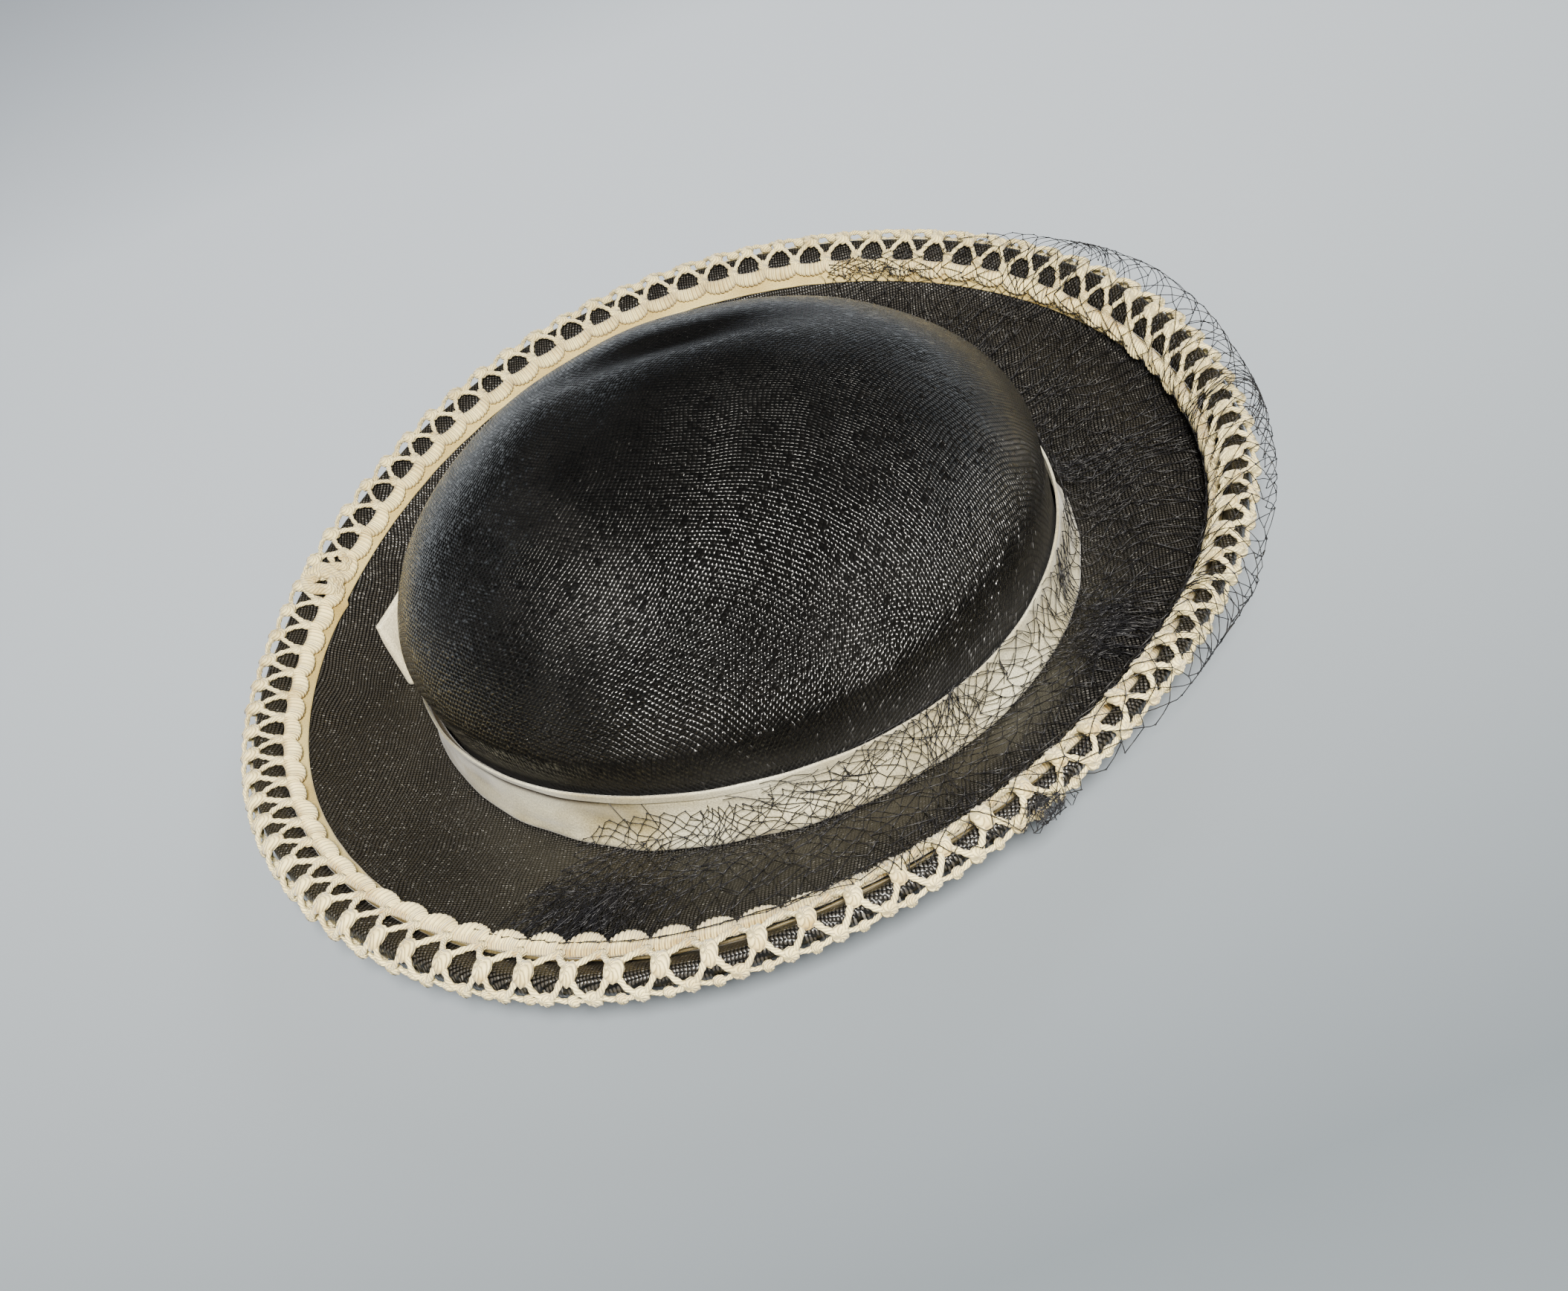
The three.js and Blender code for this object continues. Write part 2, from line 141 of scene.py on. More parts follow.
floor_mesh = bpy.data.meshes.new("floor")
half = FLOOR_SIDE / 2
floor_corners = [(-half, -half, 0), (half, -half, 0), (half, half, 0), (-half, half, 0)]
floor_mesh.from_pydata(floor_corners, [], [(0, 1, 2, 3)])
floor = bpy.data.objects.new("floor", floor_mesh)
bpy.context.collection.objects.link(floor)
floor_paper, tree, shader = new_material("matte_studio_paper")
place = add(tree, "TexCoord")
# Painted light: the floor's colour runs from FLOOR_NEAR near the camera to FLOOR_FAR away from it.
away = add(tree, "VectorMath", {0: place.outputs["Object"], 1: FLOOR_AWAY}, operation="DOT_PRODUCT")
farther = add(tree, "MapRange", {0: away.outputs["Value"], 1: FLOOR_SPAN[0], 2: FLOOR_SPAN[1]})
tone = add(tree, "Mix", {0: farther, 6: linear(FLOOR_NEAR), 7: linear(FLOOR_FAR)}, data_type="RGBA")
feed(tree, shader, {"Base Color": tone.outputs[2], "Roughness": 0.9})
floor_mesh.materials.append(floor_paper)
floor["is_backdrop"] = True

# The crown: one woven cap of glossy black straw, blocked over a dome, with a soft crease pressed
# into its far shoulder. Its strands start square at the top and turn slowly as they run down.
CROWN_THICK = 2.0
CROWN_WALL = np.array([
    # height, half length, half width
    (1.9, 104, 97.6),
    (12, 104, 98.6),
    (21, 104, 100.2),
    (30, 103.6, 102.6),
    (38, 103, 104),
])
CROWN_TOP = 87.0
DOME_FULLNESS = 1.6
DOME_SHIFT = (-1.0, -3.0)
CREASE = {"front": -12.0, "side": 33.0, "length": 34.0, "width": 9.0, "turn": -0.5, "depth": 3.0}
SETTLED = {"most": 0.35, "above": 30}
CROWN_COLUMNS = 256
CROWN_WALL_ROWS = 26
CROWN_DOME_ROWS = 72
STRAND_PITCH = 1.28
WEAVE_CENTRE = (25.0, -13.0)
WEAVE_ANGLE = np.radians(21.0)
WEAVE_TWIST = np.radians(-33.0)
WEAVE_TWIST_REACH = 90.0
WEAVE_TWIST_MOST = 1.3
WEAVE_DROP = {"below": 3, "share": 1.1}
RUBBED_FOOT = {"height": 34, "fade": 12}


def crown_wall(height):
    """Half length and half width of the crown's wall at a height, straight between table rows."""
    return (np.interp(height, CROWN_WALL[:, 0], CROWN_WALL[:, 1]),
            np.interp(height, CROWN_WALL[:, 0], CROWN_WALL[:, 2]))


def square_out(angle, length, width):
    """Unit vectors in plan, square to an ellipse of those half sizes at a parametric angle."""
    x, y = width * np.cos(angle), length * np.sin(angle)
    size = np.hypot(x, y)
    return np.stack([x / size, y / size, 0 * size], -1)


def wall_point(angle, height, standoff):
    """Points of the crown's wall at an angle and height, moved straight out by a standoff."""
    length, width = crown_wall(height)
    point = np.stack([length * np.cos(angle), width * np.sin(angle), height + 0 * angle], -1)
    return point + square_out(angle, length, width) * np.expand_dims(standoff + 0 * angle, -1)


def dome_point(angle, lean):
    """Points of the dome: an ellipse shrinking by the cosine of the lean and rising by a power of
    its sine, shifted a little with height, less the crease, which is a long Gaussian dent."""
    length, width = CROWN_WALL[-1, 1:]
    rise = np.sin(lean) ** (2 / DOME_FULLNESS)
    x = length * np.cos(lean) * np.cos(angle) + DOME_SHIFT[0] * rise
    y = width * np.cos(lean) * np.sin(angle) + DOME_SHIFT[1] * rise
    z = CROWN_WALL[-1, 0] + (CROWN_TOP - CROWN_WALL[-1, 0]) * rise
    cosine, sine = np.cos(CREASE["turn"]), np.sin(CREASE["turn"])
    along = (x - CREASE["front"]) * cosine - (y - CREASE["side"]) * sine
    across = (x - CREASE["front"]) * sine + (y - CREASE["side"]) * cosine
    dent = CREASE["depth"] * np.exp(-(along / CREASE["length"]) ** 2 - (across / CREASE["width"]) ** 2)
    return np.stack([x, y, z - dent], -1)


def grid_faces(rows, columns, ring=False):
    """Corners of a grid's quads, and the same corners counted with the seam column kept apart."""
    span = columns if ring else columns - 1
    i, j = np.indices((rows - 1, span)).reshape(2, -1)
    corners = np.stack([[i, j], [i, j + 1], [i + 1, j + 1], [i + 1, j]], 0).transpose(1, 2, 0)
    faces = corners[0] * columns + corners[1] % columns
    marks = corners[0] * (span + 1) + corners[1]
    return faces, marks


def make_piece(name, points, faces, material, marks=None, mark_faces=None, tint=None):
    """A smooth mesh in metres that rides on the hat. Faces are arrays of corner numbers, an array for
    each number of corners; marks are positions in mm along and across the cloth, kept as UV; tint is
    one number for each point."""
    mesh = bpy.data.meshes.new(name)
    corner_lists = [face for part in faces for face in part.tolist()]
    mesh.from_pydata((np.reshape(points, (-1, 3)) * MM).tolist(), [], corner_lists)
    if marks is not None:
        corners = np.concatenate([part.ravel() for part in mark_faces or faces])
        layer = mesh.uv_layers.new(name="cloth_mm")
        layer.uv.foreach_set("vector", np.reshape(marks, (-1, 2))[corners].astype(np.float32).ravel())
    if tint is not None:
        shade = mesh.attributes.new("tint", "FLOAT", "POINT")
        shade.data.foreach_set("value", np.ravel(tint).astype(np.float32))
    mesh.shade_smooth()
    mesh.materials.append(material)
    piece = bpy.data.objects.new(name, mesh)
    bpy.context.collection.objects.link(piece)
    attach(piece, "root")
    return piece


def give_wall(piece, thickness):
    """Solidify inward from the visible face, so that thin woven cloth has its real thickness."""
    wall = piece.modifiers.new("wall", "SOLIDIFY")
    wall.thickness = thickness * MM
    wall.offset = -1.0
    wall.use_even_offset = True


def slow_noise(x, y, seed, count=6, longest=60.0):
    """A gentle random surface: a sum of a few sine waves in seeded directions."""
    draw = np.random.default_rng(seed)
    total = 0 * x
    for _ in range(count):
        turn, phase = draw.uniform(0, TAU), draw.uniform(0, TAU)
        length = draw.uniform(0.35, 1.0) * longest
        total = total + np.sin((x * np.cos(turn) + y * np.sin(turn)) * TAU / length + phase)
    return total / count ** 0.5


def ridges(tree, distance, pitch):
    """Rounded ridges a pitch apart: a sine without its sign."""
    turns = add(tree, "Math", {0: distance, 1: np.pi / pitch}, operation="MULTIPLY")
    wave = add(tree, "Math", {0: turns}, operation="SINE")
    return add(tree, "Math", {0: wave}, operation="ABSOLUTE")


def woven_cells(tree, mark, pitch):
    """A square weave from a position in mm: the height of each crossing as a rounded bead, the
    product of two rows of ridges, how far the bead leans its own way, and a random number for it."""
    parts = add(tree, "SeparateXYZ", {0: mark})
    along, across = [ridges(tree, parts.outputs[axis], pitch) for axis in (0, 1)]
    bead = add(tree, "Math", {0: along, 1: across}, operation="MULTIPLY")
    shrunk = add(tree, "VectorMath", {0: mark, 3: 1 / pitch}, operation="SCALE")
    cell = add(tree, "VectorMath", {0: shrunk}, operation="FLOOR")
    chance = add(tree, "TexWhiteNoise", {"Vector": cell})
    within = add(tree, "VectorMath", {0: shrunk}, operation="FRACTION")
    middle = (0.5, 0.5, 0.5)
    from_middle = add(tree, "VectorMath", {0: within, 1: middle}, operation="SUBTRACT")
    toward = add(tree, "VectorMath", {0: chance.outputs[1], 1: middle}, operation="SUBTRACT")
    flat_toward = add(tree, "VectorMath", {0: toward, 1: (1.0, 1.0, 0.0)}, operation="MULTIPLY")
    lean = add(tree, "VectorMath", {0: from_middle, 1: flat_toward}, operation="DOT_PRODUCT")
    return bead, lean.outputs["Value"], chance


def drifted(tree, reach, scale):
    """The cloth's own position in mm, moved a little by a slow noise, as no weave runs true."""
    cloth = add(tree, "UVMap", uv_map="cloth_mm")
    drift = add(tree, "TexNoise", {"Vector": cloth, "Scale": scale, "Detail": 0.0})
    bend = add(tree, "VectorMath", {0: drift.outputs[1], 1: (0.5, 0.5, 0.5)}, operation="SUBTRACT")
    push = add(tree, "VectorMath", {0: bend, 3: reach}, operation="SCALE")
    return add(tree, "VectorMath", {0: cloth, 1: push}, operation="ADD")


def glossy_straw():
    """Black lacquered straw: each crossing is a small hard bead that catches the light, no two
    quite alike, with the gaps between painted near black as shade. Dust dulls it in places, and so
    does wear where the tint says that the band has rubbed it."""
    material, tree, shader = new_material("lacquered_black_straw")
    mark = drifted(tree, 2.4, 0.07)
    bead, lean, chance = woven_cells(tree, mark, STRAND_PITCH)
    taller = add(tree, "MapRange", {0: chance, 1: 0.0, 2: 1.0, 3: 0.85, 4: 1.25})
    dome = add(tree, "Math", {0: bead, 1: 0.7}, operation="POWER")
    swell = add(tree, "Math", {0: dome, 1: taller}, operation="MULTIPLY")
    astray = add(tree, "Math", {0: chance, 1: 4.0}, operation="POWER")
    how_far = add(tree, "MapRange", {0: astray, 1: 0.0, 2: 1.0, 3: 0.9, 4: 8.0})
    leaning = add(tree, "Math", {0: lean, 1: how_far}, operation="MULTIPLY")
    relief = add(tree, "Math", {0: swell, 1: leaning}, operation="ADD")
    foot = add(tree, "Attribute", attribute_name="tint")
    bump = add(tree, "Bump", {"Strength": 1.0, "Distance": 0.27 * MM, "Height": relief})
    place = add(tree, "TexCoord")
    dust = add(tree, "TexNoise", {"Vector": place.outputs["Object"], "Scale": 22.0, "Detail": 5.0})
    dusty = add(tree, "MapRange", {0: dust, 1: 0.50, 2: 0.80, 3: 0.0, 4: 1.0})
    straw = add(tree, "Mix", {0: chance, 6: linear("#050505"), 7: linear("#100F0E")}, data_type="RGBA")
    dulled = add(tree, "Mix", {0: dusty, 6: straw.outputs[2], 7: linear("#201F1E")}, data_type="RGBA")
    # Painted shade: the gaps between the beads are painted darker than the straw.
    top = add(tree, "MapRange", {0: bead, 1: 0.18, 2: 0.5, 3: 0.0, 4: 1.0})
    shaded = add(tree, "Mix", {0: top, 6: linear("#020202"), 7: dulled.outputs[2]}, data_type="RGBA")
    rough = add(tree, "MapRange", {0: top, 1: 0.0, 2: 1.0, 3: 0.4, 4: 0.2})
    marked_amount = add(tree, "Math", {0: dusty, 1: 0.06}, operation="MULTIPLY")
    rubbed = add(tree, "Math", {0: foot.outputs["Fac"], 1: 0.3}, operation="MULTIPLY")
    dull = add(tree, "Math", {0: rubbed, 1: marked_amount}, operation="ADD")
    duller = add(tree, "Math", {0: rough, 1: dull}, operation="ADD")
    feed(tree, shader, {"Base Color": shaded.outputs[2], "Roughness": duller, "Normal": bump,
                        "IOR": 1.58})
    return material


crown_angle = np.arange(CROWN_COLUMNS) * TAU / CROWN_COLUMNS
wall_height = np.linspace(CROWN_WALL[0, 0], CROWN_WALL[-1, 0], CROWN_WALL_ROWS)[:, None]
dome_lean = np.linspace(0, np.pi / 2, CROWN_DOME_ROWS + 1)[1:-1, None]
wall_part = wall_point(crown_angle[None, :] + 0 * wall_height, wall_height + 0 * crown_angle, 0)
dome_part = dome_point(crown_angle[None, :] + 0 * dome_lean, dome_lean)
crown_rows = np.concatenate([wall_part, dome_part])
crown_pole = dome_point(np.zeros(1), np.full(1, np.pi / 2))
crown_points = np.concatenate([crown_rows.reshape(-1, 3), crown_pole])
settled = SETTLED["most"] * slow_noise(crown_points[:, 0], crown_points[:, 1], 3)
crown_points[:, 2] += settled * (crown_points[:, 2] > SETTLED["above"])
from_centre = crown_points[:, :2] - WEAVE_CENTRE
drop = np.maximum(0, CROWN_TOP - WEAVE_DROP["below"] - crown_points[:, 2])
reach = np.hypot(np.hypot(*from_centre.T), drop * WEAVE_DROP["share"])
turn = np.arctan2(from_centre[:, 1], from_centre[:, 0]) - WEAVE_ANGLE
turn = turn - WEAVE_TWIST * np.clip(reach / WEAVE_TWIST_REACH, 0, WEAVE_TWIST_MOST)
crown_marks = np.stack([reach * np.cos(turn), reach * np.sin(turn)], -1)
crown_faces, _ = grid_faces(len(crown_rows), CROWN_COLUMNS, ring=True)
last_ring = (len(crown_rows) - 1) * CROWN_COLUMNS + np.arange(CROWN_COLUMNS)
pole = np.full(CROWN_COLUMNS, len(crown_points) - 1)
pole_faces = np.stack([last_ring, np.roll(last_ring, -1), pole], -1)
crown_foot = np.clip((RUBBED_FOOT["height"] - crown_points[:, 2]) / RUBBED_FOOT["fade"], 0, 1)
crown = make_piece("crown_woven", crown_points, [crown_faces, pole_faces],
                   glossy_straw(), crown_marks, tint=crown_foot)
give_wall(crown, CROWN_THICK)
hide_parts("crown")

# The brim: a wide, shallow saucer of matte, loosely woven straw, flat where it joins the crown, with
# its rim curled down and tucked. Age has given the rim slow waves, and it dips most at one side.
STRAW_THICK = 1.6
OPENING = (101.6, 95.2)
CREST = (158.0, 166.4)
CREST_HEIGHT = 28.8
CREST_WAVES = [
    # times round, mm up by cosine, mm up by sine
    (2, -3.1, -5.0),
    (3, 1.7, -0.5),
    (4, -0.6, -1.1),
]
CREST_SPREAD = {"times": 3, "cosine": -0.0126, "sine": 0.0069}
BRIM_ROWS = np.array([
    # share of the way from opening to crest, mm outward, mm up
    (0, 0, 0),
    (0, 8, 0),
    (0.32, 0, -4.6),
    (0.52, 0, -4.8),
    (1, -16.3, -9.3),
    (1, -10.3, -5.2),
    (1, -4.9, -1.5),
    (1, 0, 0),
    (1, 2.4, -0.6),
    (1, 3.7, -2.4),
    (1, 3.8, -4.5),
    (1, 2.6, -6.3),
])
FRONT_STEEPER = {"most": 40.0, "power": 3}
EDGE_UNDER = {"mean": 13.0, "swing": 19.0, "most": 212.0}
BRIM_COLUMNS = 492
BRIM_FINE_ROWS = 64
BRIM_PITCH = 1.0
BRIM_SETTLED = 0.25


def brim_rows(angle):
    """Every row of the brim's top at each angle: between opening and crest by its share, then out
    and up, turned about the crest by the front's steepness inside and the roll outside."""
    waves = sum(up * np.cos(n * angle) + also * np.sin(n * angle) for n, up, also in CREST_WAVES)
    spread = 1 + CREST_SPREAD["cosine"] * np.cos(CREST_SPREAD["times"] * angle) \
        + CREST_SPREAD["sine"] * np.sin(CREST_SPREAD["times"] * angle)
    crest = np.stack([CREST[0] * spread * np.cos(angle), CREST[1] * spread * np.sin(angle),
                      CREST_HEIGHT + waves], -1)
    inner = np.stack([OPENING[0] * np.cos(angle), OPENING[1] * np.sin(angle),
                      STRAW_THICK + 0 * angle], -1)
    steeper = FRONT_STEEPER["most"] * ((1 + np.cos(angle)) / 2) ** FRONT_STEEPER["power"]
    under = -EDGE_UNDER["mean"] - EDGE_UNDER["swing"] * np.cos(angle - np.radians(EDGE_UNDER["most"]))
    rows = []
    for share, out, up in BRIM_ROWS:
        tilt = np.radians((steeper if out < 0 else under) * (share == 1))
        across = out * np.cos(tilt) - up * np.sin(tilt)
        raised = out * np.sin(tilt) + up * np.cos(tilt)
        plan = square_out(angle, *(OPENING if share == 0 else CREST)) * across[..., None]
        rows.append(inner + (crest - inner) * share + plan + raised[..., None] * (0, 0, 1))
    return np.stack(rows)


def cubic_between(rows, slopes, place):
    """The cubic from each row to the next that leaves and arrives by their slopes, at places counted
    in rows, and its rate of change there."""
    low = np.clip(np.floor(place).astype(int), 0, len(rows) - 2)[None, ..., None]
    near, far = np.take_along_axis(rows, low, 0)[0], np.take_along_axis(rows, low + 1, 0)[0]
    leave, arrive = np.take_along_axis(slopes, low, 0)[0], np.take_along_axis(slopes, low + 1, 0)[0]
    t = (place - low[0, ..., 0])[..., None]
    point = ((2 * t ** 3 - 3 * t ** 2 + 1) * near + (t ** 3 - 2 * t ** 2 + t) * leave
             + (3 * t ** 2 - 2 * t ** 3) * far + (t ** 3 - t ** 2) * arrive)
    rate = ((6 * t ** 2 - 6 * t) * near + (3 * t ** 2 - 4 * t + 1) * leave
            + (6 * t - 6 * t ** 2) * far + (3 * t ** 2 - 2 * t) * arrive)
    return point, rate


def unit(vectors):
    """The same directions with a length of one."""
    return vectors / np.linalg.norm(vectors, axis=-1, keepdims=True)


def brim_point(angle, row, lift=0.0):
    """Points between rows by a cubic through them that never overshoots: at each row its slope is
    the harmonic mean of its neighbours' steps, or zero where they turn back. A lift moves them
    square to the cloth."""
    angle, row, lift = [np.asarray(a, float) for a in np.broadcast_arrays(angle, row, lift)]
    rows = brim_rows(angle)
    steps = np.diff(rows, axis=0)
    product = steps[1:] * steps[:-1]
    total = steps[1:] + steps[:-1]
    middle = np.where(product > 0, 2 * product / np.where(total == 0, 1, total), 0)
    slopes = np.concatenate([steps[:1], middle, steps[-1:]])
    point, across = cubic_between(rows, slopes, row)
    plan = square_out(angle, *CREST)
    round_it = np.stack([-plan[..., 1], plan[..., 0], 0 * angle], -1)
    return point + unit(np.cross(across, round_it)) * lift[..., None]


def matte_straw():
    """Unlacquered black straw gone grey-brown with age: a loose weave whose gaps are painted black
    as shade, whose crossings have worn unevenly, and with painted glints: a few random crossings
    lighter in colour as well as smoother."""
    material, tree, shader = new_material("matte_aged_straw")
    mark = drifted(tree, 3.0, 0.06)
    bead, lean, chance = woven_cells(tree, mark, BRIM_PITCH)
    place = add(tree, "TexCoord")
    wear = add(tree, "TexNoise", {"Vector": place.outputs["Object"], "Scale": 30.0, "Detail": 4.0})
    faded = add(tree, "Mix", {0: wear, 6: linear("#222120"), 7: linear("#484541")}, data_type="RGBA")
    # Painted glints: a few random crossings are painted light grey.
    painted_glint_share = add(tree, "MapRange", {0: chance, 1: 0.88, 2: 1.0, 3: 0.0, 4: 0.45})
    with_painted_glints = add(tree, "Mix", {0: painted_glint_share, 6: faded.outputs[2], 7: linear("#8C8A85")}, data_type="RGBA")
    # Painted shade: the gaps between the threads are painted near black.
    thread = add(tree, "MapRange", {0: bead, 1: 0.38, 2: 0.70, 3: 0.0, 4: 1.0})
    woven = add(tree, "Mix", {0: thread, 6: linear("#040404"), 7: with_painted_glints.outputs[2]}, data_type="RGBA")
    taller = add(tree, "MapRange", {0: chance, 1: 0.0, 2: 1.0, 3: 0.6, 4: 1.2})
    swell = add(tree, "Math", {0: bead, 1: taller}, operation="MULTIPLY")
    leaning = add(tree, "Math", {0: lean, 1: 0.7}, operation="MULTIPLY")
    relief = add(tree, "Math", {0: swell, 1: leaning}, operation="ADD")
    bump = add(tree, "Bump", {"Strength": 1.0, "Distance": 0.17 * MM, "Height": relief})
    rough = add(tree, "MapRange", {0: painted_glint_share, 1: 0.0, 2: 0.5, 3: 0.30, 4: 0.18})
    feed(tree, shader, {"Base Color": woven.outputs[2], "Roughness": rough, "Normal": bump,
                        "IOR": 1.45})
    return material


brim_angle = np.arange(BRIM_COLUMNS) * TAU / BRIM_COLUMNS
brim_place = np.linspace(len(BRIM_ROWS) - 1, 0, BRIM_FINE_ROWS)[:, None]
brim_points = brim_point(brim_angle[None, :], brim_place)
settle = BRIM_SETTLED * np.clip(brim_place - 2, 0, 1)[..., None] * (0, 0, 1)
brim_points = brim_points + settle * slow_noise(brim_points[..., 0], brim_points[..., 1], 11)[..., None]
cosine, sine = np.cos(-WEAVE_ANGLE), np.sin(-WEAVE_ANGLE)
brim_marks = np.stack([brim_points[..., 0] * cosine - brim_points[..., 1] * sine,
                       brim_points[..., 0] * sine + brim_points[..., 1] * cosine], -1)
brim_faces, _ = grid_faces(BRIM_FINE_ROWS, BRIM_COLUMNS, ring=True)
brim = make_piece("brim_woven", brim_points, [brim_faces], matte_straw(), brim_marks)
give_wall(brim, STRAW_THICK)
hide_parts("brim")

# The hat band: a cream satin ribbon drawn round the foot of the crown, flared at its lower edge
# onto the brim. A narrow tuck runs along its top and is deepest on the near left.
RIBBON_THICK = 0.7
BAND_ROWS = np.array([
    # height, standoff from the crown's wall
    (2.0, 5.6),
    (4.5, 4.3),
    (8.0, 3.2),
    (12.5, 2.3),
    (17.2, 1.6),
    (17.7, 1.75),
    (20.4, 1.8),
    (21.0, 1.5),
])
BAND_HEIGHTS = [
    # from and to height, and how many rows between: close together through the tuck
    (2.0, 17.2, 26),
    (17.3, 17.9, 7),
    (18.2, 21.0, 11),
]
TUCK = {"middle": 250.0, "half_width": 44.0, "least": 0.1, "depth": 0.75, "height": 17.45, "sharp": 9,
        "pressed": 0.35, "pressed_below": 0.7, "pressed_high": 0.5}
FOLD_SHADOW = {"middle": 230.0, "dark": 1.8, "below": 1.3, "high": 1.25, "wide": 44, "most": 0.97}
BAND_DARKER = {"left": 0.8, "past": 12, "wide": 26, "hollow_shade": 0.25, "foot": 0.35, "foot_high": 1.2}
BAND_TOP = [
    # angle, spread in degrees, mm that the top edge stands above or below its even height
    (270.0, 36.0, 3.2),
    (335.0, 30.0, -2.4),
]
BAND_COLUMNS = 420
BAND_PLAN = (104, 100)
RIBBON_LENGTH = 665.0
RIB_PITCH = 0.45
WRINKLE = 0.28


def satin_ribbon(name, light, dark):
    """Old cream satin: fine ribs across the ribbon and a soft sheen, gone tan where it has yellowed
    and mixed towards brown where the piece's tint says: a painted shadow under the band's tuck
    and under the lace on the facing, painted shade in the hollows of the band's wrinkles, and
    darker towards the band's left end and foot. The ribs are coarser than the real ones, so that
    they show."""
    material, tree, shader = new_material(name)
    cloth = add(tree, "UVMap", uv_map="cloth_mm")
    stretch = add(tree, "Mapping", {"Vector": cloth, "Scale": (1 / RIB_PITCH, 0.22, 1)})
    ribs = add(tree, "TexNoise", {"Vector": stretch, "Scale": 1.0, "Detail": 3.0})
    grain = add(tree, "TexNoise", {"Vector": cloth, "Scale": 1.8, "Detail": 4.0})
    place = add(tree, "TexCoord")
    age = add(tree, "TexNoise", {"Vector": place.outputs["Object"], "Scale": 34.0, "Detail": 4.0})
    aged = add(tree, "MapRange", {0: age, 1: 0.38, 2: 0.72, 3: 0.0, 4: 1.0})
    fibres = add(tree, "MapRange", {0: grain, 1: 0.3, 2: 0.7, 3: 0.55, 4: 1.15})
    cream = add(tree, "Mix", {0: aged, 6: linear(light), 7: linear(dark)}, data_type="RGBA")
    tint = add(tree, "Attribute", attribute_name="tint")
    # The tint's dark brown: painted shadow and shade on the band and the facing, and the band's darker left
    # end and foot.
    browned = add(tree, "Mix", {0: tint.outputs["Fac"], 6: cream.outputs[2], 7: linear("#33280F")},
                 data_type="RGBA")
    toned = add(tree, "VectorMath", {0: browned.outputs[2], 3: fibres}, operation="SCALE")
    both = add(tree, "Math", {0: ribs, 1: grain}, operation="ADD")
    bump = add(tree, "Bump", {"Strength": 0.7, "Distance": 0.16 * MM, "Height": both})
    rough = add(tree, "MapRange", {0: grain, 1: 0.3, 2: 0.7, 3: 0.4, 4: 0.58})
    feed(tree, shader, {"Base Color": toned, "Roughness": rough, "Normal": bump,
                        "Sheen Weight": 0.25, "Sheen Roughness": 0.4})
    return material


def degrees_off(angle, middle):
    """How many degrees an angle in radians lies past a middle in degrees, from -180 to 180."""
    return (np.degrees(angle) - middle + 180) % 360 - 180


band_angle = np.arange(BAND_COLUMNS + 1) * TAU / BAND_COLUMNS + np.pi
band_height = np.concatenate([np.linspace(*part) for part in BAND_HEIGHTS])[:, None]
standoff = np.interp(band_height, BAND_ROWS[:, 0], BAND_ROWS[:, 1]) + 0 * band_angle
off_middle = degrees_off(band_angle, TUCK["middle"])
tuck = TUCK["least"] + TUCK["depth"] * np.exp(-(off_middle / TUCK["half_width"]) ** 4)
lip = 1 / (1 + np.exp(-(band_height - TUCK["height"]) * TUCK["sharp"]))
pressed_at = (band_height - TUCK["height"] + TUCK["pressed_below"]) / TUCK["pressed_high"]
standoff = standoff + tuck * lip - TUCK["pressed"] * tuck * np.exp(-pressed_at ** 2)
uneven_top = 0 * band_angle
for middle, spread, higher in BAND_TOP:
    uneven_top = uneven_top + higher * np.exp(-(degrees_off(band_angle, middle) / spread) ** 2)
true_height = band_height + uneven_top * (band_height / 16).clip(0, 1) ** 1.5
band_flat = wall_point(band_angle + 0 * band_height, true_height, standoff)
wrinkle = WRINKLE * slow_noise(band_angle * BAND_PLAN[0] + 0 * band_height,
                               band_height * 2.2 + 0 * band_angle, 5, 9, 46.0)
foot_free = np.exp(-((band_height - 5) / 6) ** 2)
band_points = band_flat + square_out(band_angle, *BAND_PLAN) * (wrinkle * (0.5 + foot_free))[..., None]
along = (band_angle - np.pi) * RIBBON_LENGTH / TAU
band_marks = np.stack([along + 0 * band_height, band_height + 0 * band_angle], -1)
band_faces, band_mark_faces = grid_faces(len(band_height), BAND_COLUMNS, ring=True)
cream_satin = satin_ribbon("cream_satin_ribbon", "#DDD8BC", "#A5976B")
off_left = degrees_off(band_angle, FOLD_SHADOW["middle"])
# Painted shadow: a dark brown line under the tuck's lip, strongest on the near left.
shadow_at = (band_height - TUCK["height"] + FOLD_SHADOW["below"]) / FOLD_SHADOW["high"]
fold_shadow = FOLD_SHADOW["dark"] * np.exp(-shadow_at ** 2 - (off_left / FOLD_SHADOW["wide"]) ** 4)
fold_shadow = fold_shadow.clip(0, FOLD_SHADOW["most"])
# Darker and browner towards the band's left end.
left_yellow = BAND_DARKER["left"] * np.exp(-((off_left + BAND_DARKER["past"]) / BAND_DARKER["wide"]) ** 2)
# Painted shade in the hollows of the wrinkles.
hollow_shade_painted = BAND_DARKER["hollow_shade"] * np.clip(-wrinkle / WRINKLE - 0.4, 0, 1)
# Darker and browner along the band's foot.
above_foot = band_height - BAND_HEIGHTS[0][0]
foot_darker = BAND_DARKER["foot"] * np.exp(-above_foot / BAND_DARKER["foot_high"]) + 0 * tuck
band_tint = (fold_shadow + (left_yellow + hollow_shade_painted) + foot_darker).clip(0, 1)[:, :-1]
hat_band = make_piece("band_ribbon", band_points[:, :-1], [band_faces], cream_satin,
                      band_marks, [band_mark_faces], tint=band_tint)
give_wall(hat_band, RIBBON_THICK)
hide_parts("hat_band")

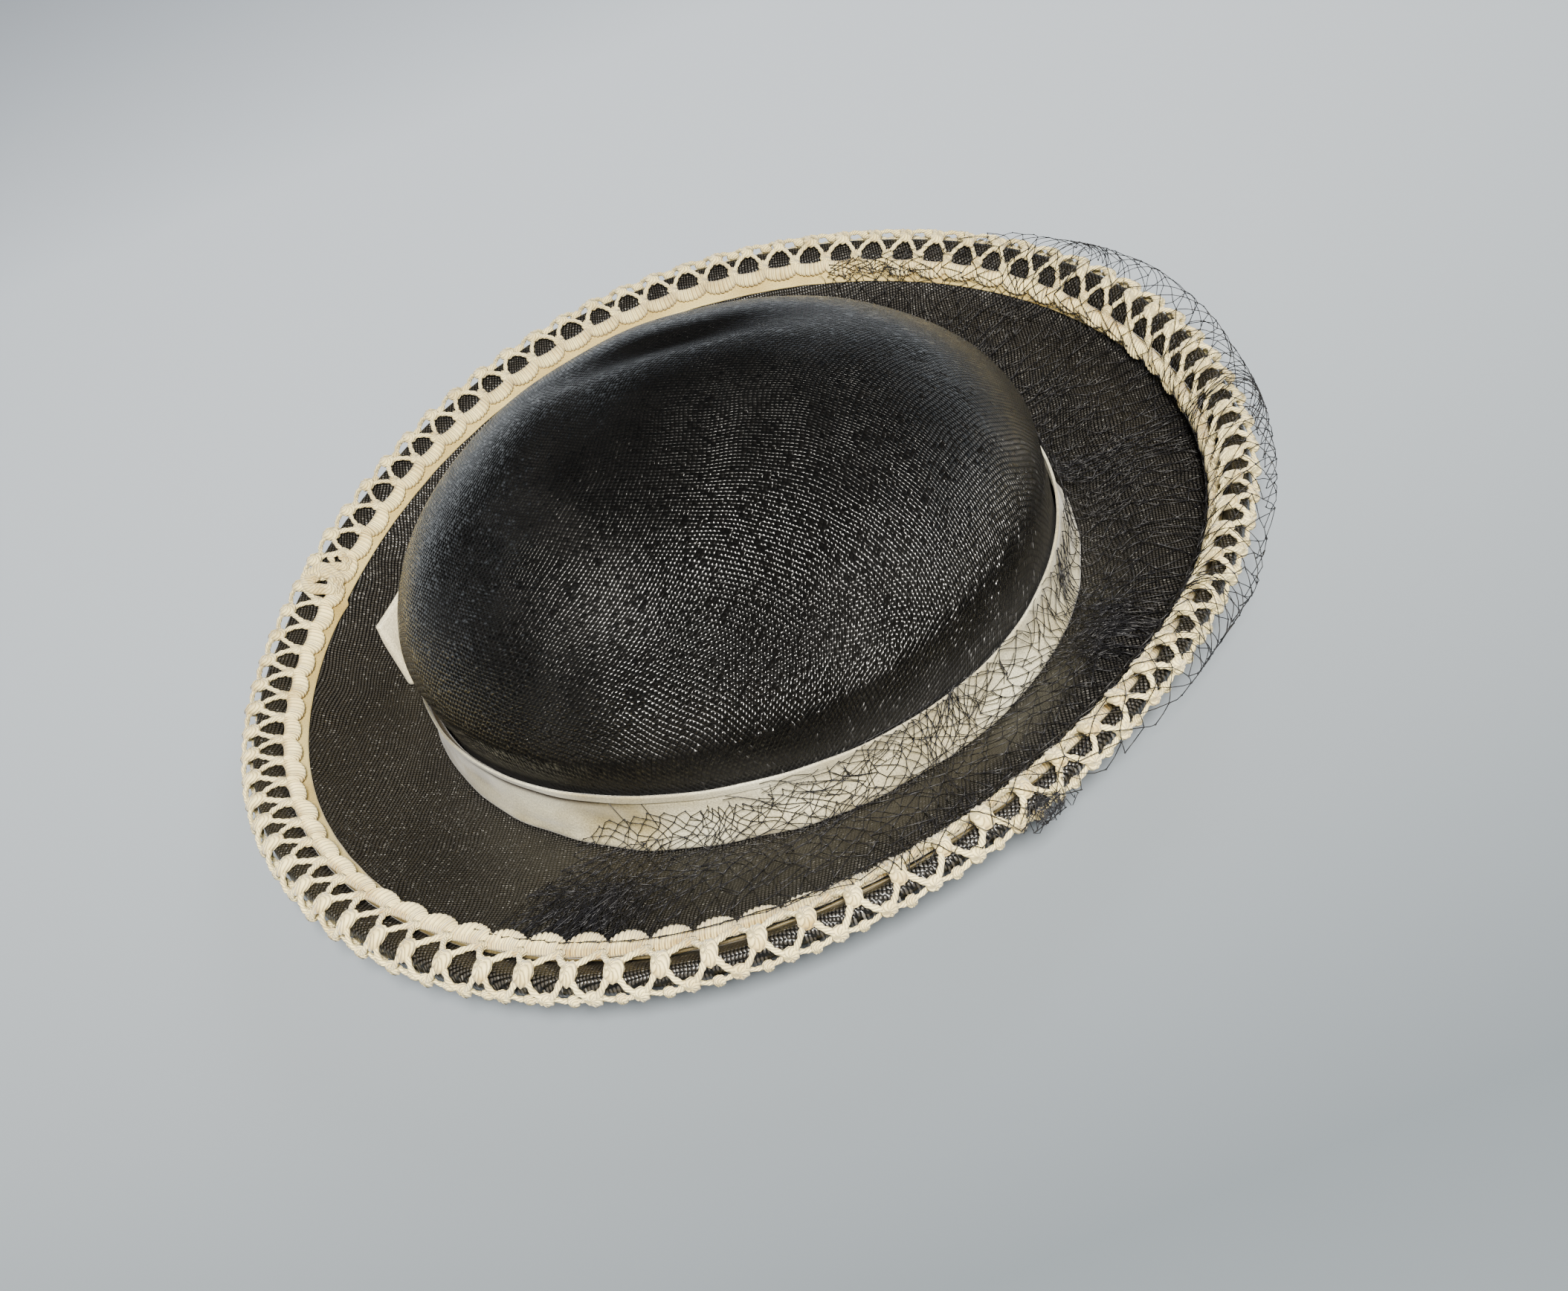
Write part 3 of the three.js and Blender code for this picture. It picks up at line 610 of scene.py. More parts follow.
# The bow: two flat loops of the band's ribbon and a wrapped knot, standing on edge at the back.
BOW = {"angle": 183.0, "reach": 41.0, "depth": 4.0, "neck": 3.4, "width": 21.0, "foot": 8.2, "root": 5.8,
       "seat_height": 8.0, "seat_off": 3.5}
LOOP_BEND = {"from": 0.46, "to": 0.54, "over": 0.08}
KNOT = {"length": 11.0, "depth": 5.5, "height": 17.0, "round": 0.42, "rows": 30, "columns": 60}
LOOPS = [
    # side, piece, node
    (1, "bow_ribbon_right", "bow_loop_right"),
    (-1, "bow_ribbon_left", "bow_loop_left"),
]
LOOP_STEPS = 120
LOOP_ACROSS = 24
bow_turn = np.radians(BOW["angle"])
bow_seat = wall_point(np.array([bow_turn]), np.array([BOW["seat_height"]]), BOW["seat_off"])[0]
bow_seat = bow_seat * (1, 1, 0) + (0, 0, BOW["foot"])
bow_along = np.array([-np.sin(bow_turn), np.cos(bow_turn), 0])
bow_out = np.array([np.cos(bow_turn), np.sin(bow_turn), 0])


def bow_place(along, out, up):
    """Points of the bow from mm along it, outward from the band and up from its foot."""
    return (bow_seat + np.expand_dims(along, -1) * bow_along + np.expand_dims(out, -1) * bow_out
            + np.expand_dims(up, -1) * (0, 0, 1))


def loop_surface(side):
    """One loop as a ribbon's middle surface: out along the band, round the end and back, drawn
    narrower and pleated where it enters the knot."""
    t = np.linspace(0, 1, LOOP_STEPS)[:, None]
    w = np.linspace(-1, 1, LOOP_ACROSS)[None, :]
    radius = BOW["depth"] / 2 - RIBBON_THICK / 2
    straight = BOW["reach"] - BOW["depth"] / 2 - BOW["root"]
    bend = np.clip((t - LOOP_BEND["from"]) / LOOP_BEND["over"], 0, 1)
    coming = np.where(t > LOOP_BEND["to"], (1 - t) / LOOP_BEND["from"], 1)
    reach = BOW["root"] + straight * np.where(t < LOOP_BEND["from"], t / LOOP_BEND["from"], coming)
    x = reach + radius * np.sin(np.pi * bend)
    towards = (reach - BOW["root"]) / straight
    back = np.where(t > 0.5, 1.0, 0.0)
    flat_out = BOW["depth"] / 2 - radius * np.cos(np.pi * bend)
    neck_out = BOW["depth"] / 2 + (BOW["neck"] / 2 - 0.6) * np.where(t > 0.5, 0.5, -1.0) - 0.5
    ease = np.clip(towards * 1.7, 0, 1) ** 0.7
    out = neck_out * (1 - ease) + flat_out * ease
    out = out + (0.35 * np.cos(w * 5.5 + 2 * back) + 0.1) * np.exp(-towards * 5) * (back * 2 - 1) * 0.6
    out = out + 0.3 * np.sin(towards * 6 + w * 1.3) * back * ease
    half_width = BOW["width"] / 2 * (0.76 + 0.24 * np.clip(towards * 2.4, 0, 1) ** 0.6)
    closed = np.clip((w - 0.2) / 0.8, 0, 1) ** 1.5 * ease
    out = out * (1 - closed) + (BOW["depth"] / 2 + np.where(t > 0.5, 0.45, -0.45)) * closed
    x = x - 1.6 * closed * np.clip(towards - 0.6, 0, 1)
    drop = 7.0 * np.clip(towards - 0.35, 0, 1) ** 1.6 * np.clip(0.4 - w, 0, 1.4)
    z = BOW["width"] / 2 + half_width * w - drop + 0.3 * np.sin(towards * 4 + side)
    points = bow_place(side * x, np.maximum(out, 0.45), z)
    marks = np.stack([2 * straight * t + 0 * w, z], -1)
    return (points if side > 0 else points[:, ::-1]), marks


loop_faces, _ = grid_faces(LOOP_STEPS, LOOP_ACROSS)
# Painted light: the bow and its knot take the band's ribbon painted lighter than the band, for the brighter
# light on the bow.
bow_satin_painted_lighter = satin_ribbon("cream_satin_bow_painted_lighter", "#F3E9C6", "#CDBE92")
for side, loop_name, node_name in LOOPS:
    loop_points, loop_marks = loop_surface(side)
    loop = make_piece(loop_name, loop_points, [loop_faces], bow_satin_painted_lighter, loop_marks)
    give_wall(loop, RIBBON_THICK)
    loop.modifiers["wall"].offset = 0.0
    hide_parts(node_name)


def rounded_box(half_sizes, rows, columns, power):
    """A closed superellipsoid: powers of sine and cosine of latitude and longitude, with poles. Its
    faces look outward once its axes run along, outward and up, which is a left-handed set."""
    latitude = np.linspace(-np.pi / 2, np.pi / 2, rows + 2)[1:-1, None]
    longitude = (np.arange(columns) * TAU / columns)[None, :]

    def squared(wave):
        return np.sign(wave) * np.abs(wave) ** power
    ring = squared(np.cos(latitude))
    body = np.stack([ring * squared(np.cos(longitude)), ring * squared(np.sin(longitude)),
                     squared(np.sin(latitude)) + 0 * longitude], -1).reshape(-1, 3)
    points = np.concatenate([body, [(0, 0, -1), (0, 0, 1)]]) * half_sizes
    quads, _ = grid_faces(rows, columns, ring=True)
    first = np.arange(columns)
    south = np.stack([np.roll(first, -1), first, np.full(columns, len(body))], -1)
    last = first + (rows - 1) * columns
    north = np.stack([last, np.roll(last, -1), np.full(columns, len(body) + 1)], -1)
    return points, [quads[:, ::-1], np.concatenate([south, north])[:, ::-1]]


knot_shape, knot_faces = rounded_box(
    np.array([KNOT["length"], KNOT["depth"], KNOT["height"]]) / 2, KNOT["rows"], KNOT["columns"],
    KNOT["round"])
crimp = 1 + 0.035 * np.sin(knot_shape[:, 0] * 2.6 + 0.35 * knot_shape[:, 2])
knot_points = bow_place(knot_shape[:, 0], KNOT["depth"] / 2 + knot_shape[:, 1] * crimp,
                        BOW["width"] / 2 + knot_shape[:, 2])
knot_marks = np.stack([knot_shape[:, 2] + knot_shape[:, 1], knot_shape[:, 0]], -1)
knot = make_piece("bow_knot_wrapped", knot_points, knot_faces, bow_satin_painted_lighter, knot_marks)
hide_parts("bow_knot")

# The facing: a cream ribbon sewn flat inside the curled rim, its outer edge darkened by a painted
# shadow of the lace.
# Its ends meet at the back, where the inner edge has a small step.
FACING_EDGE = {"row": 4.49, "once": 0.23, "twice": 0.18}
FACING_END = 5.45
FACING_SEAM = np.radians(188.0)
FACING_STEP = {"rows": 0.16, "fade": 0.05}
FACING_PUCKER = 0.16
FACING_SHADOW = {"dark": 0.9, "rows": 0.3}
FACING_GAP = 0.4
FACING_LAP = 0.25
FACING_ROWS = 14
FACING_CLOTH = {"round": 152, "across": 14}
facing_angle = FACING_SEAM + np.arange(BRIM_COLUMNS + 1) * TAU / BRIM_COLUMNS
facing_share = np.linspace(1, 0, FACING_ROWS)[:, None]
inner_row = FACING_EDGE["row"] + FACING_EDGE["once"] * np.cos(facing_angle) \
    + FACING_EDGE["twice"] * np.cos(2 * facing_angle)
past_seam = (facing_angle - FACING_SEAM) / FACING_STEP["fade"]
inner_row = inner_row - FACING_STEP["rows"] * np.exp(-past_seam)
facing_row = inner_row + (FACING_END - inner_row) * facing_share
facing_across = FACING_CLOTH["across"] * facing_share + 0 * facing_angle
pucker = FACING_PUCKER * slow_noise(facing_angle * 150 + 0 * facing_share, facing_across, 8, 8, 26.0)
facing_points = brim_point(facing_angle + 0 * facing_share, facing_row,
                           FACING_GAP + RIBBON_THICK + pucker)
facing_points[:, -1] = facing_points[:, 0] * FACING_LAP + facing_points[:, -1] * (1 - FACING_LAP)
along = (facing_angle - FACING_SEAM) * FACING_CLOTH["round"]
facing_marks = np.stack([along + 0 * facing_share, facing_across], -1)
facing_faces, facing_mark_faces = grid_faces(FACING_ROWS, BRIM_COLUMNS, ring=True)
facing_satin = satin_ribbon("cream_facing_ribbon", "#DAC57F", "#B39853")
# Painted shadow of the lace: the facing's outer rows are mixed towards dark brown.
under_lace = (facing_row - FACING_END) / FACING_SHADOW["rows"] + 1
lace_shadow = FACING_SHADOW["dark"] * np.clip(under_lace, 0, 1)
facing = make_piece("facing_ribbon", facing_points[:, :-1], [facing_faces], facing_satin,
                    facing_marks, [facing_mark_faces], tint=lace_shadow[:, :-1])
give_wall(facing, RIBBON_THICK)
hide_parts("brim_facing")

# The lace: 82 repeats of crocheted cotton cord over the rolled rim. From inside out a repeat has a
# thick stitched scallop, two cords to a fat knot on the crest, two legs to smaller knots below it,
# and an outer strand with a nub, no two repeats quite alike.
LACE_REPEATS = 82
LACE_START = 0.61
LACE_DRIFT = {"steady": -0.26, "cosine": -0.127, "sine": -0.083}
LACE_PULL = {"steady": -0.4, "cosine": 0.4, "sine": -0.5}
LACE_LIFT = 2.5
LACE_UNEVEN = {"fan": 0.35, "stitch": 0.7, "cord": 0.012, "cord_size": 0.07, "knot": 0.018,
               "knot_size": 0.06}
CREST_ROW = 7
CREST_SAMPLES = 2881
PROFILE_SAMPLES = 400
SCALLOP = {"notch": 11.6, "depth": 3.3, "inner_edge": 8.2, "inner_depth": 1.3, "thick": 1.45,
           "stitches": 10, "relief": 0.65, "standing": 4.4, "standing_at": -72.0, "standing_reach": 30}
SCALLOP_STEPS = 72
SCALLOP_AROUND = 12
CORD_STEPS = 20
CORD_SIDES = 8
CORD_LAY = 2.6
CORD_TWIST = 0.16
WRAP_PITCH = 1.25
LACE_KNOTS = [
    # name, halves of a repeat along, mm outward, half sizes along, outward and up
    ("crest", 0, 0.2, (2.55, 2.9, 1.75)),
    ("joint", 1, -8.0, (2.1, 2.3, 1.2)),
    ("lower", 1, 7.1, (2.2, 2.5, 1.6)),
    ("nub", 0, 9.6, (1.5, 1.6, 1.3)),
]
EGG_GRID = (9, 16)
EGG_ROUND = 0.9
LACE_CORDS = [
    # start, bending point and end, each in shares of a half repeat along and mm outward; radius
    ((0.12, -1.2), (0.62, -3.4), (1.0, -9.0), 0.80),
    ((0.14, 1.0), (0.50, 4.4), (1.0, 7.4), 0.80),
    ((1.0, 7.8), (0.45, 9.5), (0.0, 9.7), 0.68),
]


def length_along(paths):
    """How far along its path each point lies. Points run along the last axis but one."""
    steps = np.linalg.norm(np.diff(paths, axis=-2), axis=-1)
    return np.concatenate([0 * steps[..., :1], np.cumsum(steps, axis=-1)], axis=-1)


def walk_crest():
    """Angles round the crest from the front, the share of its length up to each, and its length."""
    angle = np.linspace(0, TAU, CREST_SAMPLES)
    length = length_along(brim_point(angle, CREST_ROW))
    return angle, length / length[-1], length[-1]


crest_angles, crest_shares, crest_length = walk_crest()
REPEAT_LENGTH = crest_length / LACE_REPEATS


def lace_angle(repeat):
    """The angle of a place on the crest counted in lace repeats."""
    share = (np.asarray(repeat) + LACE_DRIFT["steady"]) / LACE_REPEATS + LACE_START
    angle = np.interp(share % 1, crest_shares, crest_angles)
    drift = LACE_DRIFT["cosine"] * np.cos(angle) + LACE_DRIFT["sine"] * np.sin(angle)
    share = share + drift / LACE_REPEATS
    return np.interp(share % 1, crest_shares, crest_angles) + TAU * np.floor(share)


profile_row = np.linspace(4, len(BRIM_ROWS) - 1, PROFILE_SAMPLES)
profile_length = length_along(brim_point(np.pi / 2, profile_row, LACE_LIFT))
profile_length -= np.interp(CREST_ROW, profile_row, profile_length)


def lace_place(repeat, out, high=0.0):
    """Points of the lace: how many repeats round, mm outward from the crest along the curled
    cloth, and mm above the lace's own middle. Past the cloth's edge it hangs straight on."""
    edge = profile_length[-1]
    angle = lace_angle(repeat)
    out = out + LACE_PULL["steady"] + LACE_PULL["cosine"] * np.cos(angle) \
        + LACE_PULL["sine"] * np.sin(angle)
    row = np.interp(np.minimum(out, edge), profile_length, profile_row)
    point = brim_point(angle, row, LACE_LIFT + high)
    last = brim_point(angle, len(BRIM_ROWS) - 1 + 0 * row, LACE_LIFT + high)
    before = brim_point(angle, len(BRIM_ROWS) - 1.4 + 0 * row, LACE_LIFT + high)
    return point + unit(last - before) * np.maximum(0, out - edge)[..., None]


def repeat_faces(faces, copies, size):
    """The same faces for many copies of a shape of that many points."""
    return (faces[None] + (np.arange(copies) * size)[:, None, None]).reshape(-1, faces.shape[-1])


def carried_tubes(paths, ups, radius, sides, relief=0.0):
    """Tubes along many paths at once: at each step a ring in the plane of the path's side and its
    own up, which is the given up made square to the path. With a relief the section is a two-ply
    twist, wider by a cosine of twice the turn less the lay. Both ends are closed."""
    ahead = unit(np.gradient(paths, axis=1))
    side = unit(np.cross(ups, ahead))
    up = np.cross(ahead, side)
    turn = np.arange(sides) * TAU / sides
    ring = np.cos(turn)[:, None] * side[:, :, None] + np.sin(turn)[:, None] * up[:, :, None]
    count, steps = paths.shape[:2]
    length = length_along(paths)
    plies = 1 + relief * np.cos(2 * turn - TAU / CORD_LAY * length[:, :, None])
    wide = np.broadcast_to(radius, (count, steps))[..., None] * plies
    points = paths[:, :, None] + ring * wide[..., None]
    quads, _ = grid_faces(steps, sides, ring=True)
    ends = np.stack([np.arange(sides)[::-1], np.arange(sides) + (steps - 1) * sides])
    marks = np.stack(np.broadcast_arrays(length[:, :, None], turn / TAU * 4 * WRAP_PITCH), -1)
    faces = [repeat_faces(part, count, steps * sides) for part in (quads, ends)]
    return points.reshape(-1, 3), faces, marks.reshape(-1, 2)


def cotton_cord(name):
    """Mercerised cotton crochet cord, cream and a little soiled: a fine spiral wrap round each
    cord with painted shade in its grooves, fibres too fine to see one by one, and tan where a slow
    noise soils it and by the piece's tint, mostly painted shade."""
    material, tree, shader = new_material(name)
    cloth = add(tree, "UVMap", uv_map="cloth_mm")
    parts = add(tree, "SeparateXYZ", {0: cloth})
    slant = add(tree, "Math", {0: parts, 1: parts.outputs[1]}, operation="ADD")
    strand = ridges(tree, slant, WRAP_PITCH)
    place = add(tree, "TexCoord")
    fibre = add(tree, "TexNoise", {"Vector": place.outputs["Object"], "Scale": 1600.0, "Detail": 2.0})
    soil = add(tree, "TexNoise", {"Vector": place.outputs["Object"], "Scale": 120.0, "Detail": 3.0})
    tint = add(tree, "Attribute", attribute_name="tint")
    browned = add(tree, "MapRange", {0: soil, 1: 0.42, 2: 0.75, 3: -0.1, 4: 0.5})
    # Tan from the soil noise and from the tint, which is mostly painted shade.
    marked_amount = add(tree, "Math", {0: browned, 1: tint.outputs["Fac"]}, operation="ADD", use_clamp=True)
    clean = add(tree, "Mix", {0: marked_amount, 6: linear("#FCE9A8"), 7: linear("#A4833A")}, data_type="RGBA")
    # Painted shade: the grooves of the wrap are darkened in the colour.
    depth = add(tree, "MapRange", {0: strand, 1: 0.0, 2: 0.7, 3: 0.42, 4: 1.0})
    shaded = add(tree, "VectorMath", {0: clean.outputs[2], 3: depth}, operation="SCALE")
    fuzz = add(tree, "Math", {0: fibre, 1: 0.35}, operation="MULTIPLY")
    relief = add(tree, "Math", {0: strand, 1: fuzz}, operation="ADD")
    bump = add(tree, "Bump", {"Strength": 0.9, "Distance": 0.28 * MM, "Height": relief})
    feed(tree, shader, {"Base Color": shaded, "Normal": bump, "Roughness": 0.72,
                        "Sheen Weight": 0.3, "Subsurface Weight": 0.05,
                        "Subsurface Radius": (0.8 * MM, 0.6 * MM, 0.4 * MM)})
    return material


def uneven(shape, what, seed):
    """Seeded small differences between repeats, from a normal draw cut at two deviations."""
    return np.clip(np.random.default_rng(seed).normal(0, 1, shape), -2, 2) * LACE_UNEVEN[what]


lace_thread = cotton_cord("mercerised_cotton_cord")
lace_repeat = np.arange(LACE_REPEATS, dtype=float)

step = np.linspace(-1, 1, SCALLOP_STEPS)[None, :, None]
around = (np.arange(SCALLOP_AROUND) * TAU / SCALLOP_AROUND)[None, None, :]
fan_lean = step * np.pi / 2
fan_deeper = uneven((LACE_REPEATS, 1, 1), "fan", 21)
inner_along = 0.5 * np.sin(fan_lean)
inner_out = -SCALLOP["notch"] - (SCALLOP["depth"] + fan_deeper) * np.cos(fan_lean) ** 0.85
hole_along = 0.5 * np.sin(fan_lean) * (0.86 + 0.14 * np.abs(step) ** 6)
hole_out = -SCALLOP["inner_edge"] - SCALLOP["inner_depth"] * np.cos(fan_lean)
across = 0.5 - 0.5 * np.cos(around)
section = np.sign(np.sin(around)) * np.abs(np.sin(around)) ** 0.7
stitch_turn = fan_lean * SCALLOP["stitches"] + uneven((LACE_REPEATS, 1, 1), "stitch", 22)
stitches = np.abs(np.sin(stitch_turn))
raised = SCALLOP["relief"] * (stitches - 0.4) + 0.2 * np.sin(2.3 * stitch_turn)
fan_high = section * (SCALLOP["thick"] + raised * (section > 0)) * (1 - 0.15 * np.abs(step) ** 8)
fan_turn = degrees_off(lace_angle(lace_repeat), 0)
from_highest = (fan_turn - SCALLOP["standing_at"]) / SCALLOP["standing_reach"]
standing = SCALLOP["standing"] * np.exp(-from_highest ** 2)[:, None, None]
fan_high = fan_high + standing * across ** 1.3 * (0.15 + 0.85 * np.cos(fan_lean))
fan_u = lace_repeat[:, None, None] + hole_along + (inner_along - hole_along) * across
fan_v = hole_out + (inner_out - hole_out) * (across + 0.10 * (stitches - 0.5) * (across > 0.6))
fan_points = lace_place(*[a.copy() for a in np.broadcast_arrays(fan_u, fan_v, fan_high)])
fan_quads, _ = grid_faces(SCALLOP_STEPS, SCALLOP_AROUND, ring=True)
fan_size = SCALLOP_STEPS * SCALLOP_AROUND
fan_end = np.arange(SCALLOP_AROUND)
fan_ends = np.stack([fan_end[::-1], fan_end + fan_size - SCALLOP_AROUND])
fan_faces = [repeat_faces(part, LACE_REPEATS, fan_size)[:, ::-1] for part in (fan_quads, fan_ends)]
fan_wrap = stitch_turn * 2 * WRAP_PITCH / np.pi
fan_marks = np.stack(np.broadcast_arrays(fan_wrap, 0 * around + 0 * fan_u), -1)
# The scallops' tint: painted shade in the grooves between stitches and under the scalloped inner edge, and
# tan along the edge by the holes.
fan_tint = 0.5 * (1 - stitches) ** 2 + 0.4 * (across > 0.9) * (section <= 0.3) \
    + 0.4 * (across < 0.2) + 0 * fan_u
fans = make_piece("lace_scallops", fan_points, fan_faces, lace_thread, fan_marks,
                  tint=fan_tint)
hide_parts("lace_edging")

t = np.linspace(0, 1, CORD_STEPS)[None, :]
for number, ((x0, v0), (x1, v1), (x2, v2), cord_radius) in enumerate(LACE_CORDS):
    along = 0.5 * ((1 - t) ** 2 * x0 + 2 * t * (1 - t) * x1 + t ** 2 * x2)
    outward = (1 - t) ** 2 * v0 + 2 * t * (1 - t) * v1 + t ** 2 * v2
    wander = uneven((2 * LACE_REPEATS, 1), "cord", 31 + number) * np.sin(np.pi * t)
    both = np.repeat(lace_repeat, 2)[:, None]
    sides = np.tile([-1.0, 1.0], LACE_REPEATS)[:, None]
    repeat = both + sides * (along + wander)
    out = outward + 0 * repeat
    high = 0.35 * np.sin(np.pi * t) - 1.5 * np.clip((out - 5.5) / 3, 0, 1) + 0 * repeat
    paths = lace_place(repeat, out, high)
    ups = lace_place(repeat, out, high + 1.0) - paths
    radius = cord_radius * (1 + uneven((2 * LACE_REPEATS, 1), "cord_size", 41 + number) + 0 * t)
    points, faces, marks = carried_tubes(paths, ups, radius, CORD_SIDES, CORD_TWIST)
    piece = make_piece(f"lace_cords_{number + 1}", points, faces, lace_thread, marks,
                       tint=np.zeros(len(points)))
    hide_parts("lace_edging")

egg, egg_faces = rounded_box(np.ones(3), *EGG_GRID, EGG_ROUND)
egg_turn = np.arctan2(egg[:, 1], egg[:, 0])
egg_marks = np.stack([egg[:, 2] * 2, egg_turn * 1.6], -1)
wrap = 1 + 0.08 * np.cos(7 * egg_turn + 2.5 * egg[:, 2])
for number, (knot_name, half, knot_out, half_sizes) in enumerate(LACE_KNOTS):
    size = np.array(half_sizes) * (1 + uneven((LACE_REPEATS, 1, 3), "knot_size", 51 + number))
    local = egg * size * wrap[:, None]
    middle = lace_repeat[:, None] + 0.5 * half + uneven((LACE_REPEATS, 1), "knot", 61 + number)
    repeat = middle + local[..., 0] / REPEAT_LENGTH
    high = 0.25 - 0.35 * max(0, knot_out - 5.5) + local[..., 2]
    points = lace_place(repeat, knot_out + local[..., 1], high)
    # Painted shade: tan on each knot's outward side and in the grooves of its wrap.
    tint = np.clip(local[..., 1] / size[..., 1] + 0.2, 0, 1) ** 2 * 0.4 + 0.2 * (wrap < 0.96)
    faces = [repeat_faces(part, LACE_REPEATS, len(egg)) for part in egg_faces]
    marks = np.broadcast_to(egg_marks, points.shape[:2] + (2,))
    piece = make_piece(f"lace_knots_{knot_name}", points, faces, lace_thread, marks,
                       tint=tint)
    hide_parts("lace_edging")

# Where the lace's two ends meet at the back, they are curled over each other into a small rosette
# with a hollow middle and a lesser curl beside it, and stitched down.
JOIN_CURLS = [
    # piece, node, repeat and mm outward, turns, inner and outer radius, cord radius, first angle
    ("lace_rosette", "lace_join_curl_1", (74.8, -6.4), 2.8, (1.8, 6.8), 1.3, 0.4),
    ("lace_side_curl", "lace_join_curl_2", (73.9, -8.2), 1.7, (1.3, 3.9), 0.95, 2.6),
]
CURL_STEPS = 90
CURL_SIDES = 10
CURL_HIGH = 1.5
for curl_name, node_name, (seat, seat_out), turns, (inner, outer), thick, first in JOIN_CURLS:
    t = np.linspace(0, 1, CURL_STEPS)[None, :]
    swing = first + TAU * turns * t
    radius = inner + (outer - inner) * t ** 0.8 + 0.4 * np.sin(swing * 5)
    high = CURL_HIGH + 0.9 * (1 - t) + 0.25 * np.sin(swing * 1.7)
    repeat = seat + radius * np.cos(swing) / REPEAT_LENGTH
    out = seat_out + radius * np.sin(swing)
    paths = lace_place(repeat, out, high)
    ups = lace_place(repeat, out, high + 1.0) - paths
    lumpy = thick * (1 + 0.13 * np.sin(swing * 6.2)) * np.clip(0.55 + 4 * (1 - t), 0, 1)
    points, faces, marks = carried_tubes(paths, ups, lumpy, CURL_SIDES)
    tint = 0.25 + 0.2 * np.sin(swing * 2.1)
    piece = make_piece(curl_name, points, faces, lace_thread, marks,
                       tint=np.repeat(tint.ravel(), CURL_SIDES))
    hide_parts(node_name)

# The veil: black hand-knotted net, drawn up round the front half of the band, spread in folds over
# the brim and the lace, and turned under past the rim. Thread 0.3 mm, cells about 6 mm.
VEIL_FROM = -95.0
VEIL_TO = 97.0
THREAD_RADIUS = 0.15
NET_UP = (0.31, 0.22, 0.92)
NET_KNOT = 0.36
NET_SIDES = 3
NET_UNEVEN = np.array([0.22, 0.19])
VEIL_PLEATS = {"wide": 0.018, "fine": 0.003}
VEIL_LINE = [
    # the hat's surface that the net passes over, height or row there, mm off it, share of the overhang
    ("band", 21.5, 3.4, 0.0),
    ("band", 14.0, 3.7, 0.0),
    ("band", 7.5, 4.8, 0.0),
    ("brim", 1.5, 2.6, 0.0),
    ("brim", 2.2, 1.6, 0.0),
    ("brim", 3.1, 1.4, 0.0),
    ("brim", 4.1, 2.0, 0.0),
    ("brim", 5.0, 4.9, 0.05),
    ("brim", 6.0, 5.2, 0.2),
    ("brim", 7.0, 5.4, 0.65),
    ("brim", 8.2, 5.4, 1.0),
    ("brim", 9.6, 5.4, 0.9),
    ("brim", 11.0, 4.9, 0.2),
]
VEIL_EDGES = np.array([
    # angle, first and last place along the line, mm of overhang
    (-97, 3.2, 6.8, 0),
    (-90, 1.3, 7.4, 0),
    (-82, 0.5, 7.6, 0),
    (-62, 0.5, 8.4, 0),
    (-48, 0.1, 9.4, 0),
    (-38, 0.0, 10.4, 0),
    (-28, 0.0, 10.8, 0),
    (-12, 0.0, 12.0, 1.5),
    (-4, 0.0, 12.0, 5.5),
    (2, 0.0, 12.0, 2.0),
    (9, 0.0, 12.0, 3.0),
    (17, 0.0, 12.0, 2.8),
    (26, 0.0, 12.0, 3.0),
    (34, 0.0, 12.0, 3.0),
    (41, 0.0, 12.0, 4.5),
    (51, 0.2, 12.0, 5.5),
    (59, 0.6, 11.6, 4.0),
    (67, 1.2, 10.0, 1.0),
    (80, 2.0, 8.0, 0),
    (97, 3.4, 7.2, 0),
])
VEIL_BUNCHES = [
    # angle and place it is drawn towards, reach in each, share drawn in
    (-84.0, 4.9, 9.0, 1.7, 0.62),
    (-8.0, 4.4, 12.0, 1.8, 0.66),
    (28.0, 4.6, 14.0, 1.5, 0.35),
]
VEIL_LAYERS = [
    {"name": "veil_net_upper", "columns": 92, "rows": 24,
     "first": 0.0, "last": 1.0, "raise": 0.0, "seed": 5},
    {"name": "veil_net_folds", "columns": 54, "rows": 10,
     "first": 0.22, "last": 0.56, "raise": 0.7, "seed": 8},
]
VEIL_TANGLES = [
    # middle angle and place, spread in each, how many threads, how far one runs in each
    (-84.0, 4.9, 6.0, 0.7, 170, 2.2, 0.6),
    (-8.0, 4.4, 6.5, 1.0, 170, 2.2, 0.6),
    (-35.5, 10.5, 1.8, 0.4, 40, 1.8, 0.5),
    (-44.0, 1.0, 26.0, 0.8, 60, 9.0, 1.6),
    (10.0, 1.6, 26.0, 1.0, 20, 7.0, 1.7),
    (86.0, 6.6, 8.0, 0.35, 40, 2.2, 0.3),
]


def veil_line(angle, place):
    """Points of the net's path over the hat at angles in degrees and places along the table, by a
    cubic whose slope at each station is its neighbours' mean, pushed out and up past the rim by the
    overhang."""
    angle, place = np.broadcast_arrays(angle, place)
    turn = np.radians(angle)
    hang = np.interp(angle, VEIL_EDGES[:, 0], VEIL_EDGES[:, 3])
    outward = square_out(turn, *CREST) * 0.85 + np.array([0, 0, 0.5])
    stations = []
    for surface, where, off, share in VEIL_LINE:
        if surface == "band":
            station = wall_point(turn, where + 0 * turn, off)
        else:
            station = brim_point(turn, where, off)
        stations.append(station + outward * (hang * share)[..., None])
    stations = np.stack(stations)
    steps = np.diff(stations, axis=0)
    slopes = np.concatenate([steps[:1], (steps[1:] + steps[:-1]) / 2, steps[-1:]])
    return cubic_between(stations, slopes, place)[0]


